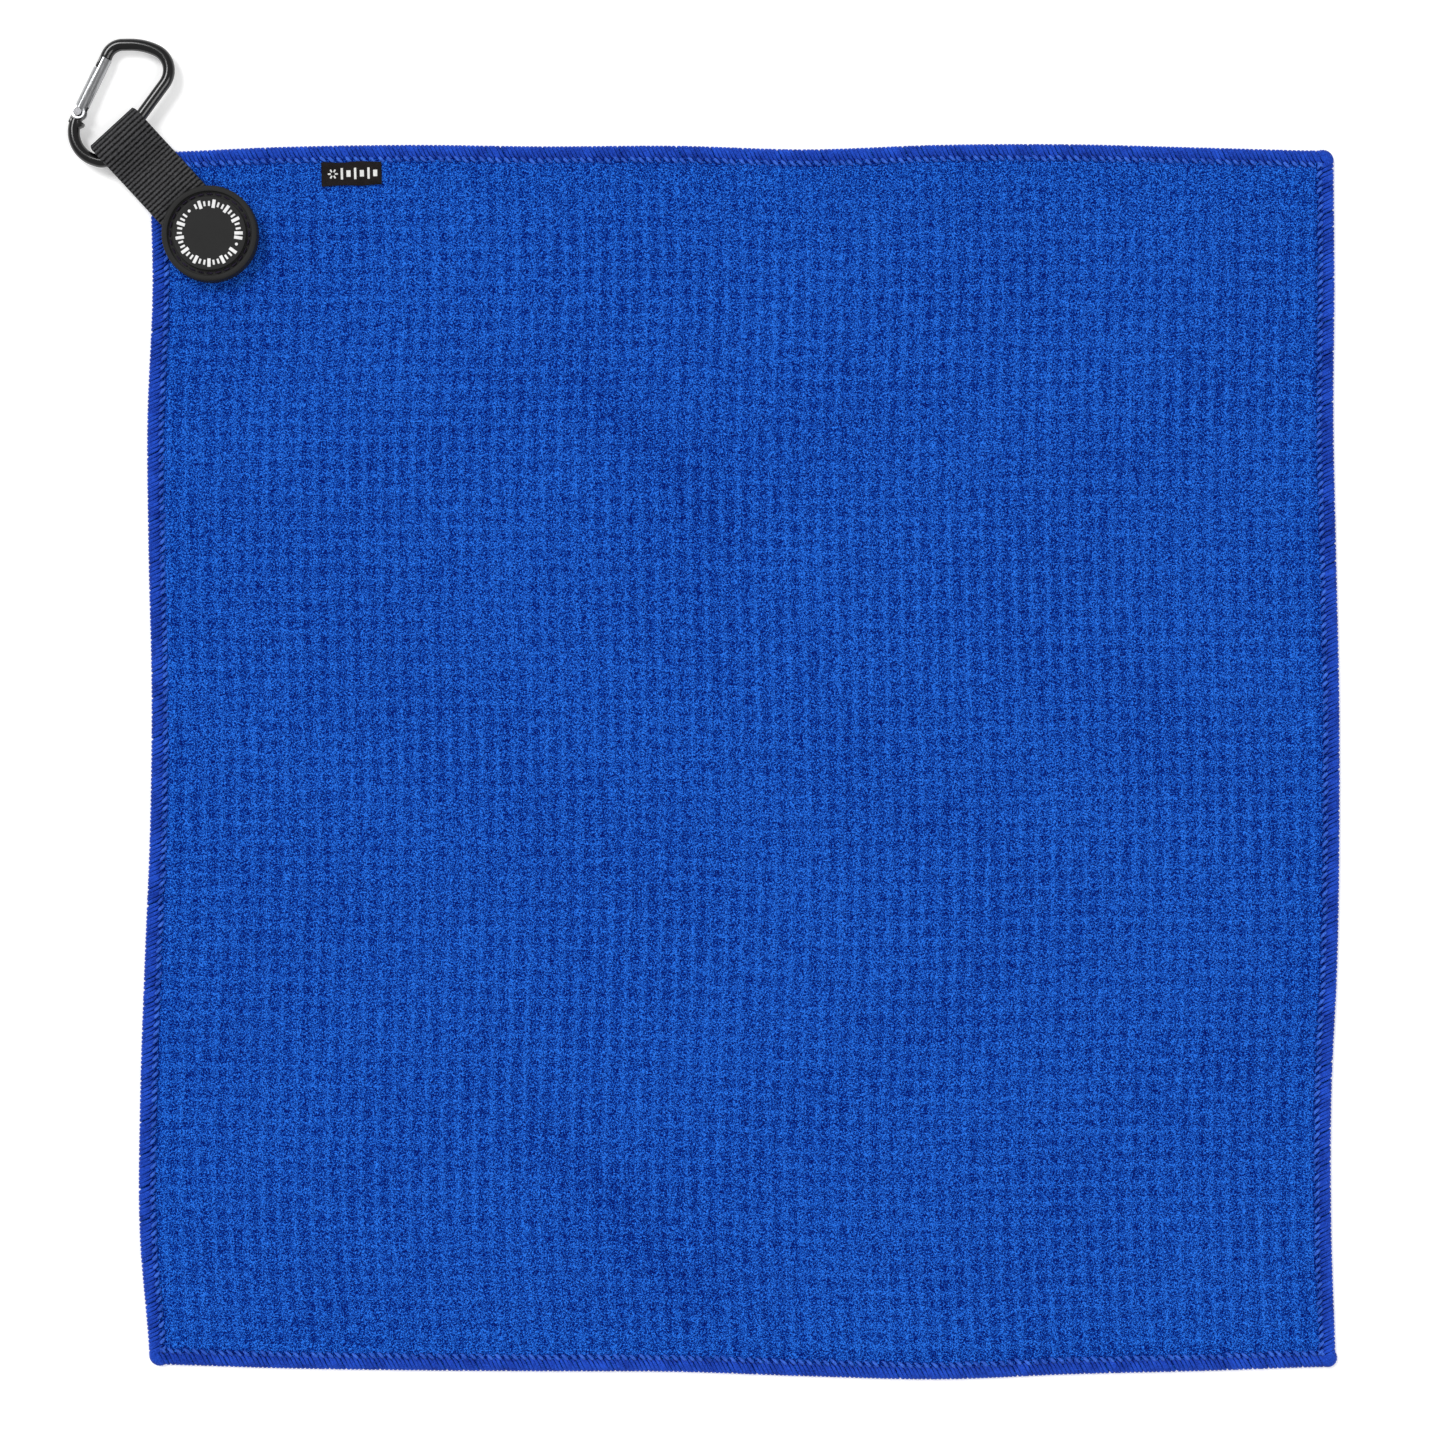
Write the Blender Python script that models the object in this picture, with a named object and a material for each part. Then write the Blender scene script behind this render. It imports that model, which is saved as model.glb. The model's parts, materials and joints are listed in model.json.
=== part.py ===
"""Golf towel: square waffle cloth, serged hems, webbing strap, stitched magnet patch and carabiner.

Metres, +Z up.  The towel lies flat with its underside on z = 0 and its centre at the origin.
+Y points to the edge that carries the patch and the label.
"""

import math

import bmesh
import bpy
from mathutils import Matrix, Vector

for leftover in list(bpy.data.objects):
    bpy.data.objects.remove(leftover, do_unlink=True)

# Fits
CLEARANCE = 0.0003
TABLE_GAP = 0.0001

# Cloth and hem
TOWEL_WIDTH = 0.396
TOWEL_LENGTH = 0.408
CLOTH_THICKNESS = 0.0024
OVERLOCK_WIDTH = 0.0040
OVERLOCK_WRAP = 0.0004
NEEDLE_ROW_WIDTH = 0.0011
NEEDLE_ROW_HEIGHT = 0.0004

# Woven label
LABEL_LENGTH = 0.020
LABEL_DROP = 0.0075
LABEL_THICKNESS = 0.0005
LABEL_FROM_SIDE = 0.0587
LABEL_TURN = math.radians(1.5)

# Webbing strap
WEBBING_WIDTH = 0.0200
WEBBING_THICKNESS = 0.0011
STRAP_DIRECTION = math.radians(132.6)
STRAP_PAST_CORNER = 0.01221
STRAP_BEND_FROM_PATCH = 0.0053
STRAP_BEND_GAP = 0.0005
STRAP_TAIL_PAST_CENTRE = 0.0085
LOOP_SLACK = 0.0016
LOOP_FLAT_SPARE = 0.00068
LOOP_UPPER_CLOSE = 0.0170
LOOP_CORNER_GAP = 0.0005
LOOP_ARC_STEPS = 8

# Magnet patch
PATCH_FROM_SIDE = 0.02215
PATCH_FROM_TOP = 0.02893
PATCH_RADIUS = 0.0159
PATCH_EDGE_ROUND = 0.0009
PATCH_EDGE_STEPS = 3
RIM_DROP = 0.0002
RIM_WIDTH = 0.0019
GROOVE_WIDTH = 0.00175
GROOVE_DEPTH = 0.0012
PLATE_BEVEL = 0.0003
PATCH_ROOF = 0.0006
POCKET_WALL = 0.00195
MAGNET_THICKNESS = 0.0015
MAGNET_BEVEL = 0.0002
COVER_THICKNESS = 0.0005
STITCH_THREAD_RADIUS = 0.00025
THREAD_SIDES = 8
TURNING_STEPS = 48

# Carabiner
ROD_RADIUS = 0.0020
# The bar crosses the loop at a slant, so the loop's flat and the axis behind it leave it room.
BAR_SLANT = math.radians(4.35)
SWING_AXIS_SKEW = math.radians(3.4)
# The gate's hinge, along the swing axis from the strap's edge and across from the axis.
HINGE_BESIDE_STRAP = 0.0082
HINGE_ACROSS = 0.0169
HINGE_HEADING = math.radians(201.3)
SPINE_PAST_STRAP = 0.0101
# One entry for each bend: straight run before it, centreline radius, turn in degrees.
ROD_BENDS = (
    (0.0000, 0.0100, 22.7),
    (0.0000, 0.0102, 72.5),
    (0.0013, 0.0038, 71.4),
    (WEBBING_WIDTH + SPINE_PAST_STRAP, 0.0076, 99.5),
    (0.0000, 0.0200, 26.6),
    (0.0026, 0.0056, 67.3),
)
NOSE_STRAIGHT = 0.0010
DEGREES_PER_STEP = 12.0

# Gate and what is inside it
GATE_PROUD = 0.00025
EAR_FLAT = 0.0003
LUG_THICKNESS = 0.0020
LUG_WELD = 0.0018
LUG_HALF_WIDTH = 0.0019
LUG_TOP = 0.0018
LUG_CHAMFER = 0.0006
SHOULDER_WIDTH = 0.0052
SHOULDER_LENGTH = 0.0030
SHOULDER_THICKNESS = 0.0034
SHOULDER_FLANK = 0.0016
SHOULDER_SHELF = 0.00105
SHOULDER_TAPER = 0.0015
RIVET_RADIUS = 0.0008
RIVET_HEAD_RADIUS = 0.0014
RIVET_HEAD_THICKNESS = 0.00035
RIVET_STEPS = 24
SLOT_TOP = 0.0028
BORE_LENGTH = 0.0092
PLUNGER_LENGTH = 0.0029
PLUNGER_TRAVEL = 0.0005
SPRING_WIRE_RADIUS = 0.0002
SPRING_TURNS = 6
SPRING_POINTS_PER_TURN = 10
TONGUE_LENGTH = 0.0040
TONGUE_THICKNESS = 0.0011
TONGUE_HALF_WIDTH = 0.0010

# Levels and places that follow from the sizes above
OVERCUT = 0.001
CLOTH_EDGE_INSET = OVERLOCK_WRAP + CLEARANCE
HEM_BOTTOM = OVERLOCK_WRAP + CLEARANCE
HEM_TOP = CLOTH_THICKNESS - OVERLOCK_WRAP - CLEARANCE
BODY_INSET = OVERLOCK_WIDTH + NEEDLE_ROW_WIDTH + 2 * CLEARANCE
CORNER_REACH = PATCH_FROM_TOP * math.sin(STRAP_DIRECTION) - PATCH_FROM_SIDE * math.cos(STRAP_DIRECTION)
STRAP_REACH = CORNER_REACH + STRAP_PAST_CORNER
LOOP_LOWER_CLOSE = STRAP_PAST_CORNER - LOOP_CORNER_GAP
STRAP_BOTTOM = CLOTH_THICKNESS + CLEARANCE
STRAP_MIDDLE = STRAP_BOTTOM + WEBBING_THICKNESS
STRAP_TOP = STRAP_MIDDLE + WEBBING_THICKNESS
COVER_BOTTOM = STRAP_TOP + CLEARANCE
MAGNET_BOTTOM = COVER_BOTTOM + COVER_THICKNESS + CLEARANCE
POCKET_ROOF = MAGNET_BOTTOM + MAGNET_THICKNESS + CLEARANCE
PATCH_TOP = POCKET_ROOF + PATCH_ROOF
GROOVE_FLOOR = PATCH_TOP - RIM_DROP - GROOVE_DEPTH
GROOVE_OUTER_RADIUS = PATCH_RADIUS - RIM_WIDTH
PLATE_RADIUS = GROOVE_OUTER_RADIUS - GROOVE_WIDTH
MAGNET_RADIUS = PLATE_RADIUS - POCKET_WALL - CLEARANCE
STITCH_RADIUS = (GROOVE_OUTER_RADIUS + PLATE_RADIUS) / 2
PATCH_CENTRE = Vector((PATCH_FROM_SIDE - TOWEL_WIDTH / 2, TOWEL_LENGTH / 2 - PATCH_FROM_TOP, 0.0))
STRAP_BEND = PATCH_RADIUS + STRAP_BEND_FROM_PATCH
LOOP_INNER_RADIUS = ROD_RADIUS + LOOP_SLACK
LOOP_FLAT = LOOP_FLAT_SPARE + WEBBING_WIDTH * math.tan(BAR_SLANT)
LOOP_MIDDLE = LOOP_INNER_RADIUS + WEBBING_THICKNESS
SWING_AXIS_FROM_FOLD = LOOP_MIDDLE + WEBBING_WIDTH / 2 * math.tan(BAR_SLANT)
GATE_RADIUS = ROD_RADIUS + GATE_PROUD
GATE_EAR_HALF = GATE_RADIUS - EAR_FLAT
HINGE_ALONG = HINGE_BESIDE_STRAP - WEBBING_WIDTH / 2 - ROD_RADIUS
GATE_HOLE_RADIUS = RIVET_RADIUS + CLEARANCE
SLOT_HALF = LUG_THICKNESS / 2 + CLEARANCE
PLUNGER_RADIUS = SLOT_HALF - CLEARANCE


def finish(name, colour, roughness, metallic=0.0):
    """Principled material from an 8-bit display colour."""
    material = bpy.data.materials.new(name)
    material.use_nodes = True
    shader = material.node_tree.nodes["Principled BSDF"]
    linear = [((value / 255 + 0.055) / 1.055) ** 2.4 for value in colour]
    shader.inputs["Base Color"].default_value = (*linear, 1.0)
    shader.inputs["Roughness"].default_value = roughness
    shader.inputs["Metallic"].default_value = metallic
    return material


def add_object(name, mesh_source, material=None, parent=None):
    """Object from a bmesh, smooth except at its real edges."""
    mesh = bpy.data.meshes.new(name)
    bmesh.ops.recalc_face_normals(mesh_source, faces=mesh_source.faces)
    mesh_source.to_mesh(mesh)
    mesh_source.free()
    mesh.shade_smooth()
    mesh.set_sharp_from_angle(angle=math.radians(35))
    thing = bpy.data.objects.new(name, mesh)
    bpy.context.collection.objects.link(thing)
    thing.parent = parent
    if material:
        mesh.materials.append(material)
    return thing


def add_empty(name, matrix, parent=None):
    """Empty that holds an axis or a place."""
    empty = bpy.data.objects.new(name, None)
    bpy.context.collection.objects.link(empty)
    empty.parent = parent
    empty.matrix_local = matrix
    return empty


def change(target, tool, operation):
    """Cut a tool from a target, or weld it on, and keep the tool as a hidden guide."""
    tool.hide_render = True
    tool.display_type = "WIRE"
    boolean = target.modifiers.new(tool.name, "BOOLEAN")
    boolean.operation = operation
    boolean.object = tool


def box_mesh(low, high):
    """Bmesh box between two corners."""
    low = Vector(low)
    high = Vector(high)
    source = bmesh.new()
    place = Matrix.Translation((low + high) / 2) @ Matrix.Diagonal((*(high - low), 1.0))
    bmesh.ops.create_cube(source, size=1.0, matrix=place)
    return source


def prism_mesh(outline, direction):
    """Bmesh of an outline of 3-D points pushed along a direction."""
    source = bmesh.new()
    face = source.faces.new([source.verts.new(point) for point in outline])
    pushed = bmesh.ops.extrude_face_region(source, geom=[face])
    moved = [item for item in pushed["geom"] if isinstance(item, bmesh.types.BMVert)]
    bmesh.ops.translate(source, verts=moved, vec=direction)
    return source


def turned_mesh(profile, steps=TURNING_STEPS, closed=False):
    """Bmesh turned about Z from (radius, height) points, closed at the axis or as a ring."""
    source = bmesh.new()
    verts = [source.verts.new((radius, 0.0, height)) for radius, height in profile]
    edges = [source.edges.new(pair) for pair in zip(verts, verts[1:])]
    if closed:
        edges.append(source.edges.new((verts[-1], verts[0])))
    bmesh.ops.spin(
        source, geom=verts + edges, cent=(0, 0, 0), axis=(0, 0, 1),
        angle=math.tau, steps=steps, use_merge=True,
    )
    bmesh.ops.remove_doubles(source, verts=source.verts, dist=1e-6)
    return source


def disc_mesh(radius, bottom, top, bevel=0.0):
    """Bmesh of a short turned cylinder with bevelled rims."""
    profile = [(0.0, bottom), (radius - bevel, bottom)]
    if bevel:
        profile += [(radius, bottom + bevel), (radius, top - bevel)]
    else:
        profile.append((radius, bottom))
    profile += [(radius - bevel, top), (0.0, top)]
    return turned_mesh(profile)


def lying_disc_mesh(radius, start, end):
    """Bmesh of a short turned cylinder laid along +X."""
    source = disc_mesh(radius, start, end)
    bmesh.ops.rotate(
        source, verts=source.verts, cent=(0, 0, 0), matrix=Matrix.Rotation(math.pi / 2, 3, "Y")
    )
    return source


def thread_ring_mesh(radius, thread_radius, height):
    """Bmesh of a ring of thread."""
    angles = [math.tau * step / THREAD_SIDES for step in range(THREAD_SIDES)]
    profile = [
        (radius + thread_radius * math.cos(angle), height + thread_radius * math.sin(angle))
        for angle in angles
    ]
    return turned_mesh(profile, closed=True)


def tube_mesh(points, radius, resolution):
    """Bmesh of a round bar along points, from a bevelled curve with filled caps."""
    curve = bpy.data.curves.new("bar", "CURVE")
    curve.dimensions = "3D"
    curve.bevel_depth = radius
    curve.bevel_resolution = resolution
    curve.use_fill_caps = True
    spline = curve.splines.new("POLY")
    spline.points.add(len(points) - 1)
    for slot, point in zip(spline.points, points):
        slot.co = (*point, 1.0)
    holder = bpy.data.objects.new("bar", curve)
    mesh = bpy.data.meshes.new_from_object(holder)
    source = bmesh.new()
    source.from_mesh(mesh)
    bmesh.ops.remove_doubles(source, verts=source.verts, dist=1e-6)
    bpy.data.meshes.remove(mesh)
    bpy.data.objects.remove(holder)
    bpy.data.curves.remove(curve)
    return source


def make_cloth(material):
    """Waffle cloth: full thickness in the field, squeezed thin under the hem stitches."""
    edge_x = TOWEL_WIDTH / 2 - CLOTH_EDGE_INSET
    edge_y = TOWEL_LENGTH / 2 - CLOTH_EDGE_INSET
    source = box_mesh((-edge_x, -edge_y, HEM_BOTTOM), (edge_x, edge_y, HEM_TOP))
    source.normal_update()
    for side, level in ((1, CLOTH_THICKNESS), (-1, 0.0)):
        face = next(face for face in source.faces if face.normal.z * side > 0.9)
        bmesh.ops.inset_region(
            source, faces=[face], thickness=BODY_INSET - CLOTH_EDGE_INSET, use_even_offset=True
        )
        pushed = bmesh.ops.extrude_discrete_faces(source, faces=[face])["faces"][0]
        for vert in pushed.verts:
            vert.co.z = level
    cloth = add_object("towel_cloth", source, material)
    half_ring = STITCH_THREAD_RADIUS + CLEARANCE
    recess_top = 2 * half_ring
    inner = STITCH_RADIUS - half_ring
    outer = STITCH_RADIUS + half_ring
    profile = [(inner, -OVERCUT), (outer, -OVERCUT), (outer, recess_top), (inner, recess_top)]
    recess = add_object("bobbin_recess_cutter", turned_mesh(profile, closed=True))
    recess.location = PATCH_CENTRE
    change(cloth, recess, "DIFFERENCE")


def mitred_strip_mesh(profile, half_length):
    """Bmesh of a strip with mitred ends from (distance from the edge, height) points.

    The strip runs along X, its outer edge lies on y = 0 and the towel is on its -Y side.
    """
    source = bmesh.new()
    rings = []
    for side in (-1, 1):
        reach = [side * (half_length - depth - CLEARANCE) for depth, _ in profile]
        rings.append([source.verts.new((x, -depth, z)) for x, (depth, z) in zip(reach, profile)])
    first, last = rings
    count = len(profile)
    for index in range(count):
        follow = (index + 1) % count
        source.faces.new((first[index], first[follow], last[follow], last[index]))
    source.faces.new(first)
    source.faces.new(last)
    return source


def make_hems(material):
    """Looper threads wrapped round each edge, and the needle thread beside them."""
    wrap = OVERLOCK_WRAP
    width = OVERLOCK_WIDTH
    top = CLOTH_THICKNESS
    channel = [
        (0.0, 0.0), (width, 0.0), (width, wrap), (wrap, wrap),
        (wrap, top - wrap), (width, top - wrap), (width, top), (0.0, top),
    ]
    near = OVERLOCK_WIDTH + CLEARANCE
    far = near + NEEDLE_ROW_WIDTH
    low = HEM_TOP + CLEARANCE
    high = low + NEEDLE_ROW_HEIGHT
    row = [(near, low), (far, low), (far, high), (near, high)]
    half_width = TOWEL_WIDTH / 2
    half_length = TOWEL_LENGTH / 2
    sides = (
        ("top", 0, half_length, half_width),
        ("left", 90, half_width, half_length),
        ("bottom", 180, half_length, half_width),
        ("right", 270, half_width, half_length),
    )
    for side, turn, offset, half_run in sides:
        for stem, profile in (("overlock_", channel), ("needle_thread_", row)):
            strip = add_object(stem + side, mitred_strip_mesh(profile, half_run), material)
            heading = Matrix.Rotation(math.radians(turn), 4, "Z")
            strip.matrix_world = heading @ Matrix.Translation((0.0, offset, 0.0))


def make_label(material):
    """Small woven label on the face, tucked against the top hem."""
    half = LABEL_LENGTH / 2
    source = box_mesh((-half, -LABEL_DROP, 0.0), (half, 0.0, LABEL_THICKNESS))
    label = add_object("woven_label", source, material)
    sag = half * math.sin(LABEL_TURN)
    label.location = (
        LABEL_FROM_SIDE + half - TOWEL_WIDTH / 2,
        TOWEL_LENGTH / 2 - BODY_INSET - sag,
        CLOTH_THICKNESS + CLEARANCE,
    )
    label.rotation_euler.z = LABEL_TURN


def loop_outline(offset):
    """Teardrop round the carabiner's bar, at a distance from the webbing's inner face.

    Coordinates are along the strap from its bend, and up from the strap's mid-plane.
    """
    fold = STRAP_REACH - STRAP_BEND
    radius = LOOP_INNER_RADIUS + offset
    rise = LOOP_MIDDLE - STRAP_MIDDLE
    near = fold - LOOP_MIDDLE - LOOP_FLAT
    far = fold - LOOP_MIDDLE
    lower_tip = fold - LOOP_LOWER_CLOSE
    upper_tip = fold - LOOP_UPPER_CLOSE
    lower_slope = tip_slope(lower_tip, near, -rise)
    upper_slope = tip_slope(upper_tip, near, rise)
    quarter = math.pi / 2
    few = LOOP_ARC_STEPS // 2
    points = [(lower_tip - offset * math.tan(lower_slope / 2), -offset)]
    points += arc(near, rise, radius, -quarter - lower_slope, -quarter, few)
    points += arc(far, rise, radius, -quarter, quarter, 2 * LOOP_ARC_STEPS)
    points += arc(near, rise, radius, quarter, quarter + upper_slope, few)
    points.append((upper_tip - offset * math.tan(upper_slope / 2), offset))
    return points


def tip_slope(tip, centre, rise):
    """Angle of the tangent from a tip on the mid-plane to the loop's circle."""
    run = centre - tip
    return math.atan2(rise, run) + math.asin(LOOP_INNER_RADIUS / math.hypot(run, rise))


def arc(centre, height, radius, start, end, steps):
    """Points of an arc in a side view."""
    angles = [start + (end - start) * step / steps for step in range(steps + 1)]
    return [(centre + radius * math.cos(a), height + radius * math.sin(a)) for a in angles]


def make_strap(material, bend_axis):
    """Folded webbing: the stitched tail under the patch, and the loop that swings up from it."""
    half = WEBBING_WIDTH / 2
    thick = WEBBING_THICKNESS
    tail_start = -(STRAP_BEND + STRAP_TAIL_PAST_CENTRE)
    tail_end = -(thick + STRAP_BEND_GAP)
    side_view = [(tail_start, thick), (tail_start, -thick)]
    side_view += arc(tail_end - thick, 0.0, thick, -math.pi / 2, math.pi / 2, LOOP_ARC_STEPS)
    source = prism_mesh([(x, -half, z) for x, z in side_view], (0.0, WEBBING_WIDTH, 0.0))
    add_object("strap_tail", source, material, bend_axis)

    outer = loop_outline(thick)
    outer += arc(0.0, 0.0, thick, math.pi / 2, 3 * math.pi / 2, LOOP_ARC_STEPS)
    inner = loop_outline(0.0)
    body = prism_mesh([(x, -half, z) for x, z in outer], (0.0, WEBBING_WIDTH, 0.0))
    loop = add_object("strap_loop", body, material, bend_axis)
    side = half + OVERCUT
    hole = prism_mesh([(x, -side, z) for x, z in inner], (0.0, 2 * side, 0.0))
    change(loop, add_object("strap_hole_cutter", hole, None, bend_axis), "DIFFERENCE")


def make_patch(rubber, steel, backing, thread, bend_axis):
    """Round moulded patch, sewn down through its groove over the strap, with a magnet inside."""
    rim_top = PATCH_TOP - RIM_DROP
    round_off = PATCH_EDGE_ROUND
    profile = [
        (0.0, STRAP_BOTTOM),
        (PATCH_RADIUS, STRAP_BOTTOM),
        *arc(PATCH_RADIUS - round_off, rim_top - round_off, round_off, 0.0, math.pi / 2, PATCH_EDGE_STEPS),
        (GROOVE_OUTER_RADIUS, rim_top),
        (GROOVE_OUTER_RADIUS, GROOVE_FLOOR),
        (PLATE_RADIUS, GROOVE_FLOOR),
        (PLATE_RADIUS, PATCH_TOP - PLATE_BEVEL),
        (PLATE_RADIUS - PLATE_BEVEL, PATCH_TOP),
        (0.0, PATCH_TOP),
    ]
    body = add_object("patch_body", turned_mesh(profile), rubber)
    body.location = PATCH_CENTRE

    gap = CLEARANCE
    low = (-STRAP_BEND - STRAP_TAIL_PAST_CENTRE - gap, -WEBBING_WIDTH / 2 - gap, -PATCH_TOP)
    high = (0.0, WEBBING_WIDTH / 2 + gap, WEBBING_THICKNESS + gap)
    channel = add_object("strap_channel_cutter", box_mesh(low, high), None, bend_axis)
    change(body, channel, "DIFFERENCE")
    pocket_mesh = disc_mesh(MAGNET_RADIUS + gap, STRAP_MIDDLE, POCKET_ROOF)
    pocket = add_object("magnet_pocket_cutter", pocket_mesh)
    pocket.location = PATCH_CENTRE
    change(body, pocket, "DIFFERENCE")

    cover_top = COVER_BOTTOM + COVER_THICKNESS
    magnet_top = MAGNET_BOTTOM + MAGNET_THICKNESS
    ring_height = GROOVE_FLOOR + gap + STITCH_THREAD_RADIUS
    inner_pieces = (
        ("magnet", disc_mesh(MAGNET_RADIUS, MAGNET_BOTTOM, magnet_top, MAGNET_BEVEL), steel),
        ("magnet_cover", disc_mesh(MAGNET_RADIUS, COVER_BOTTOM, cover_top), backing),
        (
            "patch_needle_thread",
            thread_ring_mesh(STITCH_RADIUS, STITCH_THREAD_RADIUS, ring_height),
            thread,
        ),
        (
            "patch_bobbin_thread",
            thread_ring_mesh(STITCH_RADIUS, STITCH_THREAD_RADIUS, STITCH_THREAD_RADIUS + gap / 2),
            thread,
        ),
    )
    for name, mesh, material in inner_pieces:
        add_object(name, mesh, material).location = PATCH_CENTRE


def rod_path():
    """Centreline of the carabiner's bar, from its end behind the gate's hinge round to the nose."""
    heading = HINGE_HEADING
    onward = Vector((math.cos(heading), math.sin(heading)))
    points = [Vector((HINGE_ALONG, HINGE_ACROSS)) + onward * (GATE_RADIUS + CLEARANCE)]
    for straight, radius, turn_degrees in ROD_BENDS:
        if straight:
            points.append(points[-1] + onward * straight)
        centre = points[-1] + Vector((-onward.y, onward.x)) * radius
        steps = math.ceil(turn_degrees / DEGREES_PER_STEP)
        for step in range(1, steps + 1):
            angle = heading + math.radians(turn_degrees) * step / steps
            points.append(centre + Vector((math.sin(angle), -math.cos(angle))) * radius)
        heading += math.radians(turn_degrees)
        onward = Vector((math.cos(heading), math.sin(heading)))
    points.append(points[-1] + onward * NOSE_STRAIGHT)
    return points


def make_carabiner(body_finish, gate_finish, steel, bend_axis):
    """Carabiner lying on the table, threaded through the strap's loop."""
    path = rod_path()
    nose = path[-1]
    bar = [(point.x, point.y, 0.0) for point in path]
    reach = max(point.y for point in path)
    axis_height = LOOP_MIDDLE
    tilt = math.asin((axis_height - GATE_RADIUS - TABLE_GAP) / reach)
    place = Vector((STRAP_REACH - STRAP_BEND - SWING_AXIS_FROM_FOLD, 0.0, axis_height - STRAP_MIDDLE))
    turn = Matrix.Rotation(SWING_AXIS_SKEW - math.pi / 2, 4, "Z") @ Matrix.Rotation(-tilt, 4, "X")
    swing = add_empty("swing_axis", Matrix.Translation(place) @ turn, bend_axis)
    body = add_object("carabiner_body", tube_mesh(bar, ROD_RADIUS, 4), body_finish, swing)

    hinge = Vector((HINGE_ALONG, HINGE_ACROSS))
    span = nose - hinge
    gate_heading = math.atan2(span.y, span.x)
    frame = Matrix.Translation((*hinge, 0.0)) @ Matrix.Rotation(gate_heading, 4, "Z")
    gate_axis = add_empty("gate_axis", frame, swing)
    add_hinge_lug(body, gate_axis)
    add_tongue(body, gate_axis, span.length)
    make_gate(gate_finish, gate_axis, span.length)
    make_rivet(steel, gate_axis)
    make_plunger_and_spring(steel, gate_axis)


def add_hinge_lug(body, gate_axis):
    """Weld on the flat lug between the gate's ears, and the shoulder behind it."""
    root = -(GATE_RADIUS + CLEARANCE)
    buried = root - LUG_WELD
    wide = LUG_HALF_WIDTH
    top = LUG_TOP
    cut = LUG_CHAMFER
    outline = [
        (buried, -wide), (top - cut, -wide), (top, -wide + cut),
        (top, wide - cut), (top - cut, wide), (buried, wide),
    ]
    half = LUG_THICKNESS / 2
    lug = prism_mesh([(x, y, -half) for x, y in outline], (0.0, 0.0, LUG_THICKNESS))
    change(body, add_object("lug_guide", lug, None, gate_axis), "UNION")

    inside = -(SHOULDER_WIDTH - ROD_RADIUS)
    flank = SHOULDER_FLANK
    end = root - SHOULDER_LENGTH
    outline = [
        (root, flank), (root, inside), (root - SHOULDER_SHELF, inside),
        (end, -flank), (end, 0.0), (root - SHOULDER_TAPER, flank),
    ]
    half = SHOULDER_THICKNESS / 2
    shoulder = prism_mesh([(x, y, -half) for x, y in outline], (0.0, 0.0, SHOULDER_THICKNESS))
    change(body, add_object("shoulder_guide", shoulder, None, gate_axis), "UNION")

    hole = disc_mesh(RIVET_RADIUS + CLEARANCE, -LUG_THICKNESS, LUG_THICKNESS)
    change(body, add_object("lug_hole_cutter", hole, None, gate_axis), "DIFFERENCE")


def add_tongue(body, gate_axis, nose_distance):
    """Weld on the tongue that runs down outside the gate's tip and stops it swinging outwards."""
    outside = ROD_RADIUS - CLEARANCE / 2
    low = (nose_distance - TONGUE_LENGTH, outside - TONGUE_THICKNESS, -TONGUE_HALF_WIDTH)
    high = (nose_distance + ROD_RADIUS / 2, outside, TONGUE_HALF_WIDTH)
    change(body, add_object("tongue_guide", box_mesh(low, high), None, gate_axis), "UNION")


def make_gate(material, gate_axis, nose_distance):
    """Hollow gate with two ears at its hinge and a flat at its tip for the tongue."""
    gap = CLEARANCE
    length = nose_distance - gap
    gate = add_object("carabiner_gate", lying_disc_mesh(GATE_RADIUS, 0.0, length), material, gate_axis)
    ears = add_object("ear_guide", disc_mesh(GATE_RADIUS, -GATE_EAR_HALF, GATE_EAR_HALF), None, gate_axis)
    change(gate, ears, "UNION")

    side = GATE_RADIUS + OVERCUT
    slot = box_mesh((-side, -side, -SLOT_HALF), (SLOT_TOP, side, SLOT_HALF))
    change(gate, add_object("ear_slot_cutter", slot, None, gate_axis), "DIFFERENCE")
    bore = lying_disc_mesh(SLOT_HALF, SLOT_TOP - OVERCUT, SLOT_TOP + BORE_LENGTH)
    change(gate, add_object("spring_bore_cutter", bore, None, gate_axis), "DIFFERENCE")
    pin_hole = disc_mesh(GATE_HOLE_RADIUS, -side, side)
    change(gate, add_object("pin_hole_cutter", pin_hole, None, gate_axis), "DIFFERENCE")

    inner_face = ROD_RADIUS - gap / 2 - TONGUE_THICKNESS - gap
    notch = box_mesh((nose_distance - TONGUE_LENGTH - gap, inner_face, -side), (length + side, side, side))
    change(gate, add_object("tongue_notch_cutter", notch, None, gate_axis), "DIFFERENCE")


def make_rivet(material, gate_axis):
    """Rivet through both ears and the lug, with a flat head on each side."""
    under = GATE_RADIUS + CLEARANCE / 3
    top = under + RIVET_HEAD_THICKNESS
    profile = [
        (0.0, -top), (RIVET_HEAD_RADIUS, -top), (RIVET_HEAD_RADIUS, -under), (RIVET_RADIUS, -under),
        (RIVET_RADIUS, under), (RIVET_HEAD_RADIUS, under), (RIVET_HEAD_RADIUS, top), (0.0, top),
    ]
    add_object("gate_rivet", turned_mesh(profile, RIVET_STEPS), material, gate_axis)


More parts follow.
